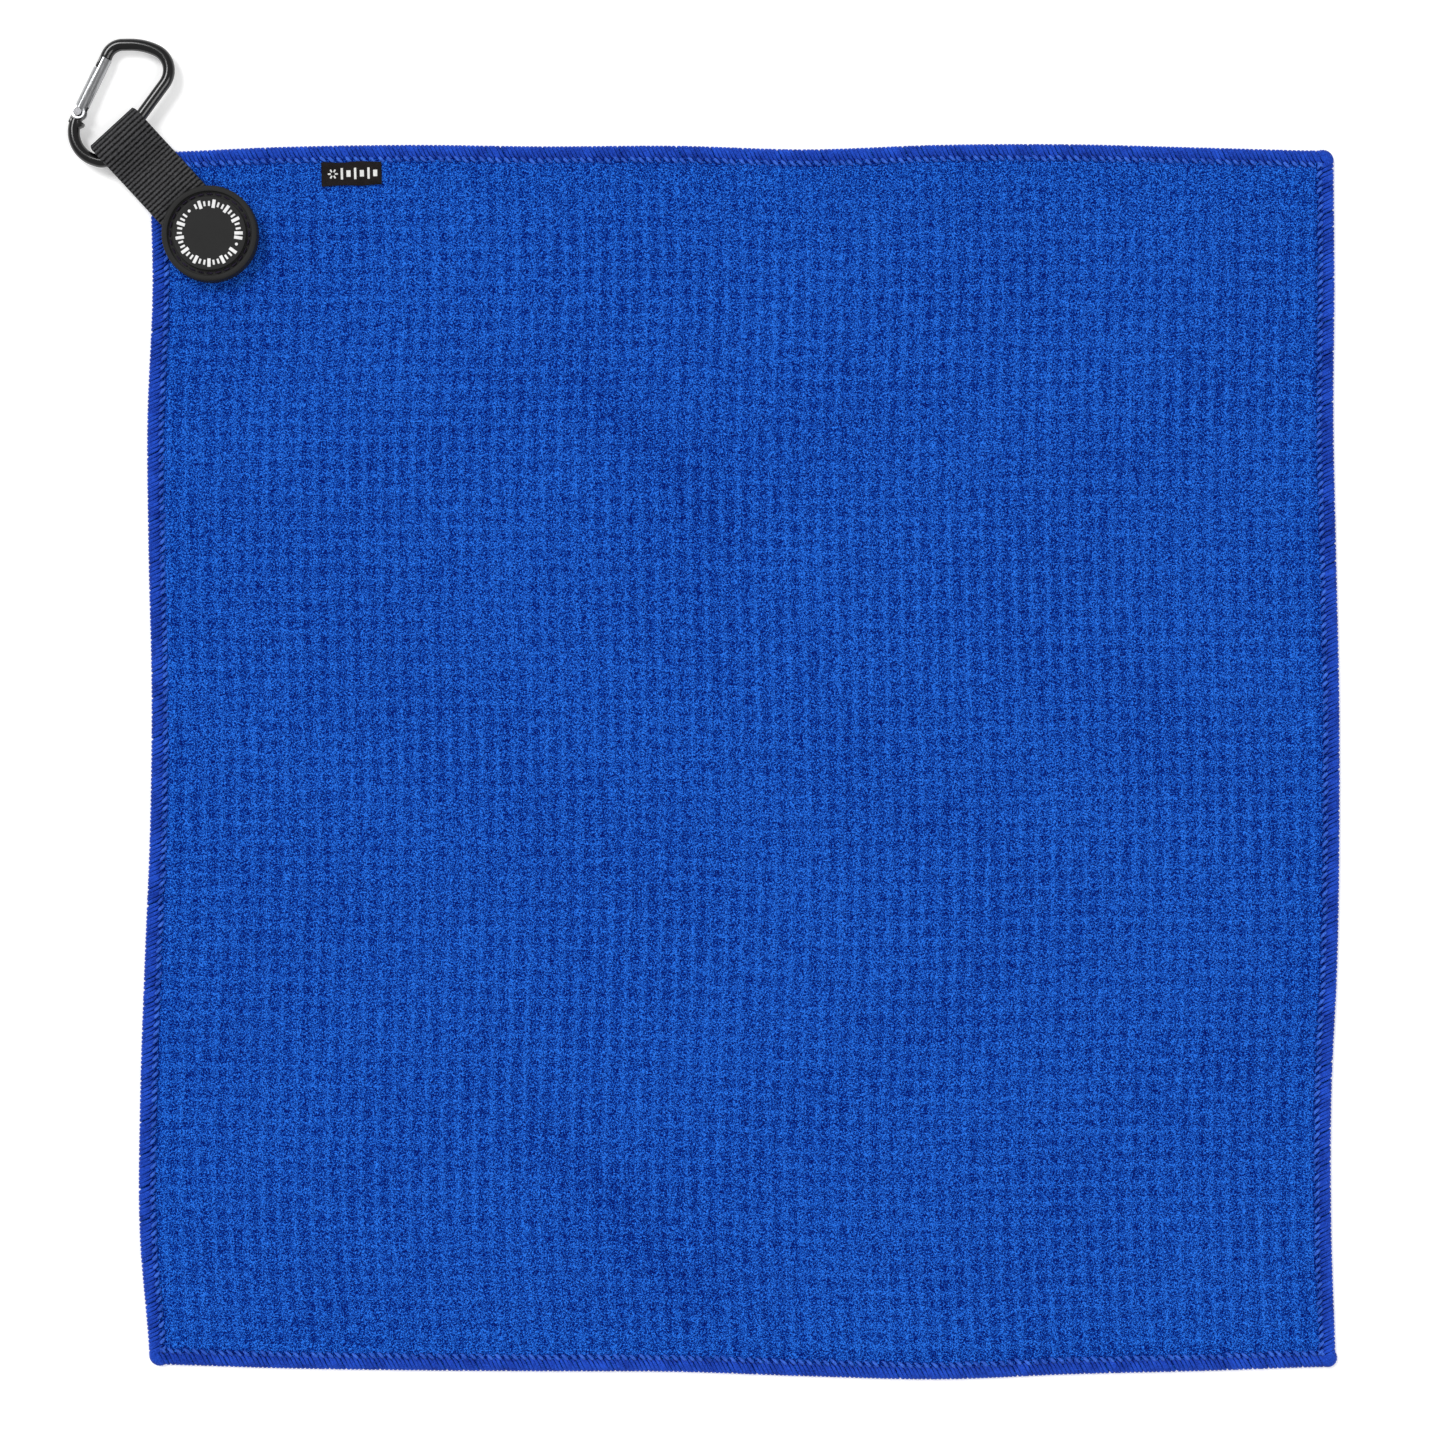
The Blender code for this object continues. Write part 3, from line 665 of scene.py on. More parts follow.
@dataclass
class WaffleCloth:
    """Waffle-woven terry, flattened under its hem stitches, with soft wrinkles by the top."""

    outline: Outline
    columns: int = 73
    rows: int = 70
    steps: int = 4
    edge_inset: float = 0.0007
    face_level: float = 0.00245
    back_level: float = 0.0001
    pocket_depth: float = 0.00075
    hem_band: float = 0.0040
    hem_slope: float = 0.0022
    hem_face: float = 0.0017
    hem_back: float = 0.0007
    loop_roughness: float = 0.00009
    wrinkle: float = 0.00030
    wrinkle_reach: float = 0.050
    patch_quiet: float = 0.030
    corner: float = 0.0033
    # Painted shade: a darker band of the cloth just inside each hem, under its row of loops.
    hem_shade_band: tuple[float, float] = (0.0030, 0.0054)
    hem_shade_strength: float = 0.9
    folds: tuple[tuple[float, float, float, float], ...] = (
        (-0.052, 0.128, 0.000, 0.072), (-0.072, -0.116, -0.006, -0.184),
    )
    fold_depth: float = 0.0006
    fold_width: float = 0.0090
    fold_shade: float = 0.20

    def pockets(self, places: np.ndarray) -> np.ndarray:
        """How deep each place is in its waffle pocket, from 0 on the ridges to 1 in the middle."""
        sway = 0.0012 * np.sin(places[:, 1] / 0.083 + 1.0) + 0.0004 * np.sin(places[:, 1] / 0.031)
        rise = 0.0016 * np.sin(places[:, 0] / 0.120) + 0.0004 * np.sin(places[:, 0] / 0.027)
        column = ((places[:, 0] + sway) / self.outline.width * self.columns) % 1.0
        row = ((places[:, 1] + rise) / self.outline.length * self.rows) % 1.0
        across = 1 - (2 * column - 1) ** 2
        along = 1 - (2 * row - 1) ** 2
        uneven = 0.92 + 0.08 * np.sin(places[:, 0] / 0.0190 + 3 * np.sin(places[:, 1] / 0.0370))
        return across * (0.4 + 0.6 * along) * uneven

    def valleys(self, places: np.ndarray) -> np.ndarray:
        """How deep each place is in the long soft creases, from 0 to 1."""
        depth = np.zeros(len(places))
        for first_x, first_y, last_x, last_y in self.folds:
            run = math.hypot(last_x - first_x, last_y - first_y)
            ahead = ((places[:, 0] - first_x) * (last_x - first_x) + (places[:, 1] - first_y) * (last_y - first_y)) / run
            aside = ((places[:, 1] - first_y) * (last_x - first_x) - (places[:, 0] - first_x) * (last_y - first_y)) / run
            aside += 0.0012 * np.sin(ahead / 0.0110)
            length = ease(ahead, -0.010, 0.012) * (1 - ease(ahead, run - 0.012, run + 0.010))
            depth += np.exp(-((aside / self.fold_width) ** 2)) * length
        return depth

    def round_corners(self, places: np.ndarray, half: np.ndarray) -> None:
        """Draw the cloth's square corners in to quarter circles.

        Args:
            places: The cloth's places, changed in place.
            half: Half the cloth's width and length.
        """
        past = np.maximum(np.abs(places[:, :2]) - (half - self.corner), 0.0)
        inside = (past > 0).all(axis=1)
        past = past[inside]
        past *= (past.max(axis=1) / np.hypot(past[:, 0], past[:, 1]))[:, None]
        places[inside, :2] = np.sign(places[inside, :2]) * (half - self.corner + past)

    def edge(self, places: np.ndarray) -> np.ndarray:
        """Distance of each place from the cloth's nearest edge."""
        side = self.outline.width / 2 - np.abs(places[:, 0])
        end = self.outline.length / 2 - np.abs(places[:, 1])
        return np.minimum(side, end)

    def wrinkles(self, places: np.ndarray) -> np.ndarray:
        """Height of the soft folds, strongest along the top and fading away down the cloth."""
        from_top = self.outline.length / 2 - places[:, 1]
        fade = np.exp(-from_top / self.wrinkle_reach)
        x = places[:, 0]
        folds = np.sin(x / 0.0052 + 2.2 * np.sin(x / 0.047)) * 0.6 + np.sin(x / 0.0113 + 0.7) * 0.8
        broad = np.sin(x / 0.037 + places[:, 1] / 0.061) + np.sin(places[:, 1] / 0.043 - x / 0.090)
        low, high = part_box("patch_body")
        patch = (low + high) / 2
        away = np.hypot(x - patch.x, places[:, 1] - patch.y)
        quiet = ease(away, self.patch_quiet * 0.7, self.patch_quiet * 1.6)
        dent = np.exp(-(((x - patch.x - 0.0215) / 0.0012) ** 2) - ((places[:, 1] - patch.y) / 0.0055) ** 2)
        pucker = np.exp(-(((x - patch.x - 0.0120) / 0.0014) ** 2) - ((places[:, 1] - patch.y + 0.022) / 0.006) ** 2)
        return self.wrinkle * (folds * fade + 0.28 * broad) * quiet - 0.0007 * dent - 0.0005 * pucker

    def build(self) -> bpy.types.Object:
        """Make the cloth as one closed sheet.

        Returns:
            The cloth, in place.
        """
        size = Vector((self.outline.width - 2 * self.edge_inset, self.outline.length - 2 * self.edge_inset, 1.0))
        face = add_grid("terry_cloth", self.columns * self.steps, self.rows * self.steps)
        back = add_grid("terry_back", self.columns, self.rows)
        with editing(back):
            bpy.ops.mesh.select_all(action="SELECT")
            bpy.ops.mesh.flip_normals()
            bpy.ops.transform.translate(value=(0.0, 0.0, -1.0))
        cloth = join("terry_cloth", [face, back])
        with editing(cloth, Pick.EDGES):
            bpy.ops.mesh.select_all(action="SELECT")
            bpy.ops.transform.resize(value=size)
            bpy.ops.mesh.select_all(action="DESELECT")
            bpy.ops.mesh.select_non_manifold()
            bpy.ops.mesh.bridge_edge_loops()
        places = read_places(cloth)
        upper = places[:, 2] > -0.5
        self.round_corners(places, np.array((size.x, size.y)) / 2)
        pattern = self.pockets(places)
        plain = 0.45 + 0.55 * ease(self.outline.length / 2 - places[:, 1], 0.006, 0.035)
        deep = pattern * plain
        valley = self.valleys(places)
        inward = ease(self.edge(places), self.hem_band, self.hem_band + self.hem_slope)
        loops = np.random.default_rng(7).normal(0.0, self.loop_roughness, len(places))
        field = self.face_level - self.pocket_depth * deep + self.wrinkles(places) + loops
        field -= self.fold_depth * valley
        level = self.hem_face + (field - self.hem_face) * inward
        under = self.hem_back + (self.back_level - self.hem_back) * inward
        places[:, 2] = np.where(upper, level, under)
        write_places(cloth, self.outline.shape(places))
        # Painted shade, stored as "deep" for the terry finish: darker in the waffle pockets and lighter on their
        # ridges, darker along the soft creases, and a painted shadow band just inside the hems.
        start, end = self.hem_shade_band
        edge = self.edge(places)
        under_hem_shade = ease(edge, start - 0.0008, start) * (1 - ease(edge, end - 0.0006, end + 0.0004))
        shade = (pattern - pattern.mean()) * plain * inward + self.fold_shade * valley
        mark(cloth, "deep", shade * (1 - under_hem_shade) + under_hem_shade * self.hem_shade_strength)
        smooth(cloth, 180.0)
        return cloth


@dataclass
class OverlockHem:
    """Serged edge: yarns laid over the edge at a slant, and a row of small loops inside them."""

    outline: Outline
    pitch: float = 0.0028
    slant: float = 0.0030
    yarn_half_width: float = 0.00066
    yarn_half_height: float = 0.00034
    bead_half_width: float = 0.00074
    bead_half_height: float = 0.00040
    corners: int = 6
    unevenness: float = 0.00014
    corner_inset: float = 0.0040
    corner_reach: tuple[float, float, float, float] = (0.0041, 0.0043, 0.0047, 0.0045)
    corner_yarns: int = 9

    def yarn(self, shift: float) -> bpy.types.Object:
        """One yarn from the inner row over the edge and back underneath."""
        inward = np.array((0.0044, 0.0034, 0.0020, 0.0009, 0.0003, 0.0009, 0.0022, 0.0040))
        height = np.array((0.00175, 0.00225, 0.00240, 0.00215, 0.00120, 0.00035, 0.00022, 0.00040))
        along = shift + self.slant * np.linspace(0.5, -0.5, len(inward)) - 0.0006 * np.sin(
            np.linspace(0.0, math.pi, len(inward)))
        middles = np.stack([along, -inward, height], axis=1)
        return self.strand("yarn", middles, self.yarn_half_width, self.yarn_half_height)

    def bead(self) -> bpy.types.Object:
        """One small loop of the inner row."""
        inward = np.array((0.0040, 0.0044, 0.0050, 0.0055, 0.0056))
        height = np.array((0.00190, 0.00240, 0.00255, 0.00240, 0.00180))
        along = np.array((-0.0005, -0.0003, 0.0001, 0.0006, 0.0010))
        middles = np.stack([along, -inward, height], axis=1)
        return self.strand("bead", middles, self.bead_half_width, self.bead_half_height)

    def strand(self, name: str, middles: np.ndarray, wide: float, deep: float) -> bpy.types.Object:
        """Short thread along a line, thinner at its ends.

        Args:
            name: The strand's name.
            middles: Its line's points, one row each.
            wide: Half its width along the hem.
            deep: Half its height.

        Returns:
            The strand.
        """
        across = np.tile((1.0, 0.0, 0.0), (len(middles), 1))
        ahead = np.gradient(middles, axis=0)
        through = np.cross(ahead, across)
        through /= np.linalg.norm(through, axis=1)[:, None]
        swell = np.sin(np.linspace(0.45, math.pi - 0.45, len(middles)))[:, None, None] ** 0.5
        sections = np.tile(ring_section(self.corners, wide, deep), (len(middles), 1, 1)) * swell
        return sweep(name, middles, across, through, sections)

    def repeat(self, stitch: bpy.types.Object, count: int, seed: int) -> None:
        """Copy one stitch along the hem and make every copy a little different.

        Args:
            stitch: The first stitch, about x = 0.
            count: How many stitches the hem has.
            seed: Seed of the small differences.
        """
        apply_modifier(
            stitch, "ARRAY", count=count, use_relative_offset=False, use_constant_offset=True,
            constant_offset_displace=(self.pitch, 0.0, 0.0), use_merge_vertices=False,
        )
        places = read_places(stitch).reshape(count, -1, 3)
        draw = np.random.default_rng(seed)
        places[:, :, 0] += draw.normal(0.0, self.unevenness, (count, 1)) - self.pitch * (count - 1) / 2
        places[:, :, 1] *= 1 + draw.normal(0.0, 0.025, (count, 1))
        places[:, :, 2] += draw.normal(0.0, self.unevenness / 4, (count, 1))
        write_places(stitch, places.reshape(-1, 3))

    def lay(self, piece: bpy.types.Object, side: Side) -> None:
        """Turn a straight hem to its side of the towel and bend it to the outline."""
        half = self.outline.length / 2 if side in (Side.TOP, Side.BOTTOM) else self.outline.width / 2
        places = read_places(piece) + np.array((0.0, half, 0.0))
        turn = np.array(Matrix.Rotation(math.radians(side.value), 3, "Z"))
        write_places(piece, self.outline.shape(places @ turn.T))
        smooth(piece, 70.0)

    def corner(self) -> bpy.types.Object:
        """Yarns fanned round each corner into a small knob.

        Returns:
            All four corners' yarns as one piece.
        """
        fans = []
        ends = ((-1, 1, 0), (1, 1, -90), (1, -1, -180), (-1, -1, -270))
        for (right, up, degrees), reach in zip(ends, self.corner_reach):
            x = right * (self.outline.width / 2 - self.corner_inset)
            y = up * (self.outline.length / 2 - self.corner_inset)
            for number in range(self.corner_yarns):
                spread = degrees + 90.0 * number / (self.corner_yarns - 1)
                bulge = reach - self.corner_inset
                swell = self.corner_inset + bulge * math.sin(math.pi * number / (self.corner_yarns - 1))
                yarn = self.yarn(0.0)
                turn = Matrix.Rotation(math.radians(spread), 4, "Z")
                yarn.data.transform(Matrix.Translation((x, y, 0.0)) @ turn @ Matrix.Translation((0.0, swell, 0.0)))
                fans.append(yarn)
        knobs = join("corner_hem_yarns", fans)
        write_places(knobs, self.outline.shape(read_places(knobs)))
        smooth(knobs, 70.0)
        return knobs

    def build(self, side: Side) -> tuple[bpy.types.Object, bpy.types.Object]:
        """Make one side's hem.

        Args:
            side: The towel's edge.

        Returns:
            The laid yarns and the row of loops.
        """
        run = self.outline.width if side in (Side.TOP, Side.BOTTOM) else self.outline.length
        count = round((run - 2 * self.corner_inset) / self.pitch)
        stem = side.name.lower()
        yarns = join(stem + "_hem_yarns", [self.yarn(-self.pitch / 4), self.yarn(self.pitch / 4)])
        beads = self.bead()
        beads.name = stem + "_hem_loops"
        for seed, piece in enumerate((yarns, beads)):
            self.repeat(piece, count, side.value + seed)
            self.lay(piece, side)
        return yarns, beads


@dataclass
class WovenLabel:
    """Small folded label on the face, tucked against the top hem, with plain woven marks."""

    outline: Outline
    length: float = 0.0200
    drop: float = 0.0078
    thickness: float = 0.0006
    level: float = 0.00265
    turn_degrees: float = 1.5
    mark_height: float = 0.00012
    bars: int = 6
    first_bar: float = -0.0032
    bar_step: float = 0.00222
    tall_bar: tuple[float, float] = (0.0008, 0.0038)
    short_bar: tuple[float, float] = (0.0014, 0.0022)
    star_points: int = 6
    star_middle: float = -0.0062
    star_radius: float = 0.0013

    def cloth(self) -> bpy.types.Object:
        """The label's own small sheet, curled a little at its ends."""
        label = add_grid("label_cloth", 40, 16)
        places = read_places(label) * np.array((self.length, self.drop, 1.0))
        across = 2 * places[:, 0] / self.length
        along = 2 * places[:, 1] / self.drop
        weave = 0.00003 * np.sin(places[:, 0] / 0.00016) * np.sin(places[:, 1] / 0.00016)
        places[:, 2] = 0.00022 * across**2 * (1 - along) / 2 + 0.0001 * np.sin(3 * across) + weave
        places[:, 1] += 0.00015 * np.sin(5 * across) * along
        write_places(label, places)
        apply_modifier(label, "SOLIDIFY", thickness=self.thickness, offset=-1.0)
        apply_modifier(label, "BEVEL", width=0.0002, segments=2, limit_method="ANGLE")
        return label

    def marks(self) -> bpy.types.Object:
        """Plain bars and a ring of short strokes, raised like satin stitch."""
        top = self.mark_height
        marks = []
        for number in range(self.bars):
            middle = self.first_bar + number * self.bar_step
            width, height = self.short_bar if number % 2 else self.tall_bar
            low = Vector((middle - width / 2, -height / 2, -top))
            high = Vector((middle + width / 2, height / 2, top + 0.0001))
            marks.append(add_box("bar", low, high, 0.0001))
        for point in range(self.star_points):
            low = Vector((self.star_radius * 0.5, -0.00028, -top))
            high = Vector((self.star_radius * 1.3, 0.00028, top + 0.0001))
            stroke = add_box("stroke", low, high, 0.0001)
            turn = Matrix.Rotation(math.tau * point / self.star_points, 4, "Z")
            stroke.data.transform(Matrix.Translation((self.star_middle, 0.0, 0.0)) @ turn)
            marks.append(stroke)
        return join("label_marks", marks)

    def build(self) -> tuple[bpy.types.Object, bpy.types.Object]:
        """Make the label and its marks, in place.

        Returns:
            The label's cloth and its marks.
        """
        low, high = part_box("woven_label")
        middle = np.array([[(low.x + high.x) / 2, (low.y + high.y) / 2, self.level]])
        place = Vector(self.outline.shape(middle)[0])
        place.x = middle[0, 0]
        turn = Matrix.Translation(place) @ Matrix.Rotation(math.radians(self.turn_degrees), 4, "Z")
        pieces = (self.cloth(), self.marks())
        for piece in pieces:
            piece.data.transform(turn)
            smooth(piece, 50.0)
        pieces[0].data.transform(Matrix.Translation((0.0, 0.0, self.thickness / 2)))
        pieces[1].data.transform(Matrix.Translation((0.0, 0.0, self.thickness / 2)))
        return pieces


# ---------------------------------------------------------------------------------------------
# Strap and patch
# ---------------------------------------------------------------------------------------------


def joint(name: str) -> dict:
    """The record's joint of that name."""
    return next(item for item in frame["joints"] if item["name"] == name)


def arc(centre: tuple[float, float], radius: float, start: float, end: float, steps: int) -> np.ndarray:
    """Points of an arc.

    Args:
        centre: The arc's middle.
        radius: Its radius.
        start: Its first angle, in radians.
        end: Its last angle, in radians.
        steps: How many steps it has.

    Returns:
        Its points, two numbers each.
    """
    angle = np.linspace(start, end, steps + 1)
    return np.stack([centre[0] + radius * np.cos(angle), centre[1] + radius * np.sin(angle)], axis=1)


@dataclass
class WebbingStrap:
    """One length of webbing, folded round the carabiner's bar with both its ends under the patch."""

    layer: float = 0.0011
    loop_flat: float = 0.0022
    upper_close: float = 0.0170
    lower_close: float = 0.0117
    rib_pitch: float = 0.00145
    rib_height: float = 0.00020
    selvage: float = 0.00013
    fold_draw: float = 0.0005
    fold_draw_reach: float = 0.0020
    steps_per_rib: int = 6
    face_steps: int = 16
    tail: float = 0.0290
    bend_before: float = 0.0030
    bend_after: float = 0.0045

    def __post_init__(self) -> None:
        """Read the strap's place from the frame."""
        bend = joint("strap_bend")
        self.origin = Vector(bend["pos_m"])
        self.across = Vector(bend["axis"]).normalized()
        self.ahead = Vector((0.0, 0.0, 1.0)).cross(self.across)
        shape = np.array([vert.co for vert in frame["nodes"]["strap_loop"].data.vertices])
        local = shape - np.array(self.origin)
        self.fold = float((local @ np.array(self.ahead)).max())
        self.half_width = float(np.abs(local @ np.array(self.across)).max())
        self.loop_radius = float(np.ptp(shape[:, 2])) / 2
        self.rise = self.loop_radius - self.origin.z

    def line(self) -> np.ndarray:
        """Middle line of the webbing in its side view, ends together under the patch."""
        radius = self.loop_radius - self.layer / 2
        half = self.layer / 2
        near = self.fold - self.loop_radius - self.loop_flat
        far = self.fold - self.loop_radius
        slopes = []
        for close, rise in ((self.lower_close, -self.rise), (self.upper_close, self.rise)):
            run = near - (self.fold - close)
            slopes.append(math.atan2(rise, run) + math.asin((self.loop_radius - self.layer) / math.hypot(run, rise)))
        quarter = math.pi / 2
        lower_tip = (self.fold - self.lower_close - half * math.tan(slopes[0] / 2), -half)
        upper_tip = (self.fold - self.upper_close - half * math.tan(slopes[1] / 2), half)
        parts = [
            np.array([(-self.tail, -half), lower_tip]),
            arc((near, self.rise), radius, -quarter - slopes[0], -quarter, 8),
            arc((far, self.rise), radius, -quarter, quarter, 40),
            arc((near, self.rise), radius, quarter, quarter + slopes[1], 8),
            np.array([upper_tip, (-self.tail, half)]),
        ]
        return np.concatenate(parts)

    def build(self) -> bpy.types.Object:
        """Make the strap.

        Returns:
            The strap, in place.
        """
        line = self.line()
        gaps = np.hypot(*np.diff(line, axis=0).T)
        run = np.concatenate([[0.0], np.cumsum(gaps)])
        ribs = round(run[-1] / self.rib_pitch)
        stations = ribs * self.steps_per_rib + 1
        along = np.linspace(0.0, run[-1], stations)
        side = np.stack([np.interp(along, run, line[:, index]) for index in (0, 1)], axis=1)
        for _ in range(6):
            side[1:-1] = (side[:-2] + 2 * side[1:-1] + side[2:]) / 4
        slope = np.gradient(side, axis=0)
        slope /= np.linalg.norm(slope, axis=1)[:, None]
        ahead, across, up = (np.array(v) for v in (self.ahead, self.across, Vector((0.0, 0.0, 1.0))))
        middles = np.array(self.origin) + side[:, :1] * ahead + side[:, 1:] * up
        through = -slope[:, 1:] * ahead + slope[:, :1] * up
        wave = np.abs(np.sin(math.pi * along / self.rib_pitch)) ** 0.7
        face = np.linspace(-1.0, 1.0, self.face_steps)
        half = self.layer / 2 - self.rib_height * 0.6
        upper = np.stack([face * 0.975, np.ones_like(face)], axis=1)
        lower = np.stack([-face * 0.975, -np.ones_like(face)], axis=1)
        outline = np.concatenate([upper, [(1.0, 0.0)], lower, [(-1.0, 0.0)]])
        sections = np.tile(outline, (stations, 1, 1))
        drawn_in = self.fold_draw * ease(side[:, 0], self.fold - self.fold_draw_reach, self.fold)
        sections[:, :, 0] *= (self.half_width - self.selvage * (1 - wave) - drawn_in)[:, None]
        sections[:, :, 1] *= (half + self.rib_height * wave)[:, None]
        strap = sweep("webbing_strap", middles, np.tile(across, (stations, 1)), through, sections)
        self.store_ribs(strap, middles, through, across, wave)
        smooth(strap, 60.0)
        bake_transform(strap)
        return strap

    def store_ribs(self, strap: bpy.types.Object, middles: np.ndarray, through: np.ndarray,
                   across: np.ndarray, wave: np.ndarray) -> None:
        """Mark each vert with how high it is on its rib, for the painted highlight on the rib tops and painted shade
        in the grooves.

        Args:
            strap: The strap's mesh.
            middles: The webbing's middle line.
            through: Directions through the webbing along that line.
            across: Direction across the webbing.
            wave: Height on the rib along that line, from 0 to 1.
        """
        places = read_places(strap)
        flat = places - np.outer((places - np.array(self.origin)) @ across, across)
        values = np.empty(len(places))
        block = 2000
        for first in range(0, len(flat), block):
            part = flat[first:first + block]
            gap = part[:, None, :] - middles[None, :, :]
            reach = np.abs(np.einsum("ijk,jk->ij", gap, through))
            distance = np.einsum("ijk,ijk->ij", gap, gap) - reach**2
            distance += (reach > self.layer) * 1.0
            values[first:first + block] = wave[np.argmin(distance, axis=1)]
        mark(strap, "rib", values**2)


@dataclass
class MagnetPatch:
    """Round moulded patch with a sewn groove, and a ring of plain raised marks on its plate."""

    segments: int = 128
    rim_width: float = 0.0019
    groove_depth: float = 0.0012
    groove_width: float = 0.00175
    plate_rise: float = 0.0014
    edge_round: float = 0.0009
    crisp: float = 0.00025
    strap_clearance: float = 0.0003
    stitches: int = 28
    stitch_half: tuple[float, float, float] = (0.00115, 0.00034, 0.00026)
    mark_radius: float = 0.0098
    mark_length: float = 0.0028
    mark_rise: float = 0.00010
    mark_count: int = 40
    dot_degrees: tuple[float, ...] = (132.0, -22.0)
    dot_half: float = 0.0005
    dot_room_degrees: float = 9.0

    def __post_init__(self) -> None:
        """Read the patch's place from the frame."""
        self.low, self.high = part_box("patch_body")
        self.middle = (self.low + self.high) / 2
        self.radius = (self.high.x - self.low.x) / 2
        self.rim_top = self.high.z + self.groove_depth - self.plate_rise
        self.stitch_radius = self.radius - self.rim_width - self.groove_width / 2

    def body(self) -> bpy.types.Object:
        """The patch itself, cut underneath for the strap."""
        clear_selection()
        height = self.rim_top - self.low.z
        bpy.ops.mesh.primitive_cylinder_add(
            vertices=self.segments, radius=self.radius, depth=height,
            location=(self.middle.x, self.middle.y, self.low.z + height / 2),
        )
        bpy.ops.object.transform_apply(location=True)
        patch = take("magnet_patch")
        with editing(patch):
            select(patch, Pick.FACES, lambda middle, normal: normal.z > 0.9)
            bpy.ops.mesh.inset(thickness=self.rim_width)
            bpy.ops.mesh.extrude_region_move(TRANSFORM_OT_translate={"value": (0, 0, -self.groove_depth)})
            bpy.ops.mesh.inset(thickness=self.groove_width)
            bpy.ops.mesh.extrude_region_move(TRANSFORM_OT_translate={"value": (0, 0, self.plate_rise)})
            bpy.ops.mesh.inset(thickness=self.crisp * 3)
        plate_radius = self.radius - self.rim_width - self.groove_width
        rings = (
            (self.radius, self.rim_top, self.edge_round, 5),
            (self.radius - self.rim_width, self.rim_top, self.crisp, 3),
            (plate_radius, self.high.z, self.crisp, 3),
        )
        for radius, level, width, steps in rings:
            with editing(patch, Pick.EDGES):
                select(patch, Pick.EDGES, lambda middle, normal, r=radius, z=level: abs(
                    math.hypot(middle.x - self.middle.x, middle.y - self.middle.y) - r) < 2e-5
                    and abs(middle.z - z) < 2e-5)
                bpy.ops.mesh.bevel(offset=width, segments=steps, affect="EDGES")
        self.cut_channel(patch)
        smooth(patch, 35.0)
        return patch

    def cut_channel(self, patch: bpy.types.Object) -> None:
        """Cut the patch's underside out round the strap's two layers."""
        strap = WebbingStrap()
        gap = self.strap_clearance
        reach = strap.origin - strap.ahead * (strap.tail + gap)
        side = strap.half_width + gap
        low = Vector((0.0, -side, -strap.origin.z - 0.001))
        high = Vector((strap.tail + gap + 0.02, side, strap.layer + gap))
        channel = add_box("strap_channel", low, high)
        turn = Matrix((strap.ahead, -strap.across, (0.0, 0.0, 1.0))).transposed().to_4x4()
        channel.data.transform(Matrix.Translation(reach) @ turn)
        apply_modifier(patch, "BOOLEAN", operation="DIFFERENCE", object=channel, solver="EXACT")
        bpy.data.objects.remove(channel)

    def stitching(self) -> bpy.types.Object:
        """Short stitches lying in the groove."""
        stitches = []
        level = self.rim_top - self.groove_depth + self.stitch_half[2]
        for number in range(self.stitches):
            clear_selection()
            bpy.ops.mesh.primitive_uv_sphere_add(segments=8, ring_count=6, radius=1.0)
            stitch = take("stitch")
            with editing(stitch):
                bpy.ops.mesh.select_all(action="SELECT")
                bpy.ops.transform.resize(value=self.stitch_half)
            turn = Matrix.Rotation(math.tau * number / self.stitches, 4, "Z")
            place = Matrix.Translation((self.middle.x, self.middle.y, level))
            stitch.data.transform(place @ turn @ Matrix.Translation((0.0, self.stitch_radius, 0.0)))
            stitches.append(stitch)
        return join("patch_stitches", stitches)

    def marks(self) -> bpy.types.Object:
        """Plain strokes of three widths round the plate, with a dot in each of two gaps."""
        place = Matrix.Translation((self.middle.x, self.middle.y, self.high.z))
        rise = self.mark_rise
        marks = []
        for number in range(self.mark_count):
            degrees = 360.0 * number / self.mark_count
            if any(abs((degrees - dot + 180) % 360 - 180) < self.dot_room_degrees for dot in self.dot_degrees):
                continue
            width = (0.0011, 0.0007, 0.0007)[number % 3]
            length = self.mark_length * (1.0, 0.6, 0.6)[number % 3]
            low = Vector((self.mark_radius - length / 2, -width / 2, -rise))
            high = Vector((self.mark_radius + length / 2, width / 2, rise))
            stroke = add_box("stroke", low, high, rise)
            stroke.data.transform(place @ Matrix.Rotation(math.radians(degrees), 4, "Z"))
            marks.append(stroke)
        for degrees in self.dot_degrees:
            clear_selection()
            bpy.ops.mesh.primitive_cylinder_add(vertices=20, radius=self.dot_half, depth=2 * rise)
            dot = take("dot")
            with editing(dot, Pick.EDGES):
                bpy.ops.mesh.select_all(action="SELECT")
                bpy.ops.mesh.bevel(offset=rise * 0.6, segments=2, affect="EDGES")
            turn = Matrix.Rotation(math.radians(degrees), 4, "Z")
            dot.data.transform(place @ turn @ Matrix.Translation((self.mark_radius, 0.0, 0.0)))
            marks.append(dot)
        return join("patch_marks", marks)

    def build(self) -> tuple[bpy.types.Object, bpy.types.Object, bpy.types.Object]:
        """Make the patch, its stitches and its marks, in place."""
        pieces = (self.body(), self.stitching(), self.marks())
        for piece in pieces[1:]:
            smooth(piece, 50.0)
        return pieces


# ---------------------------------------------------------------------------------------------
# Carabiner
# ---------------------------------------------------------------------------------------------


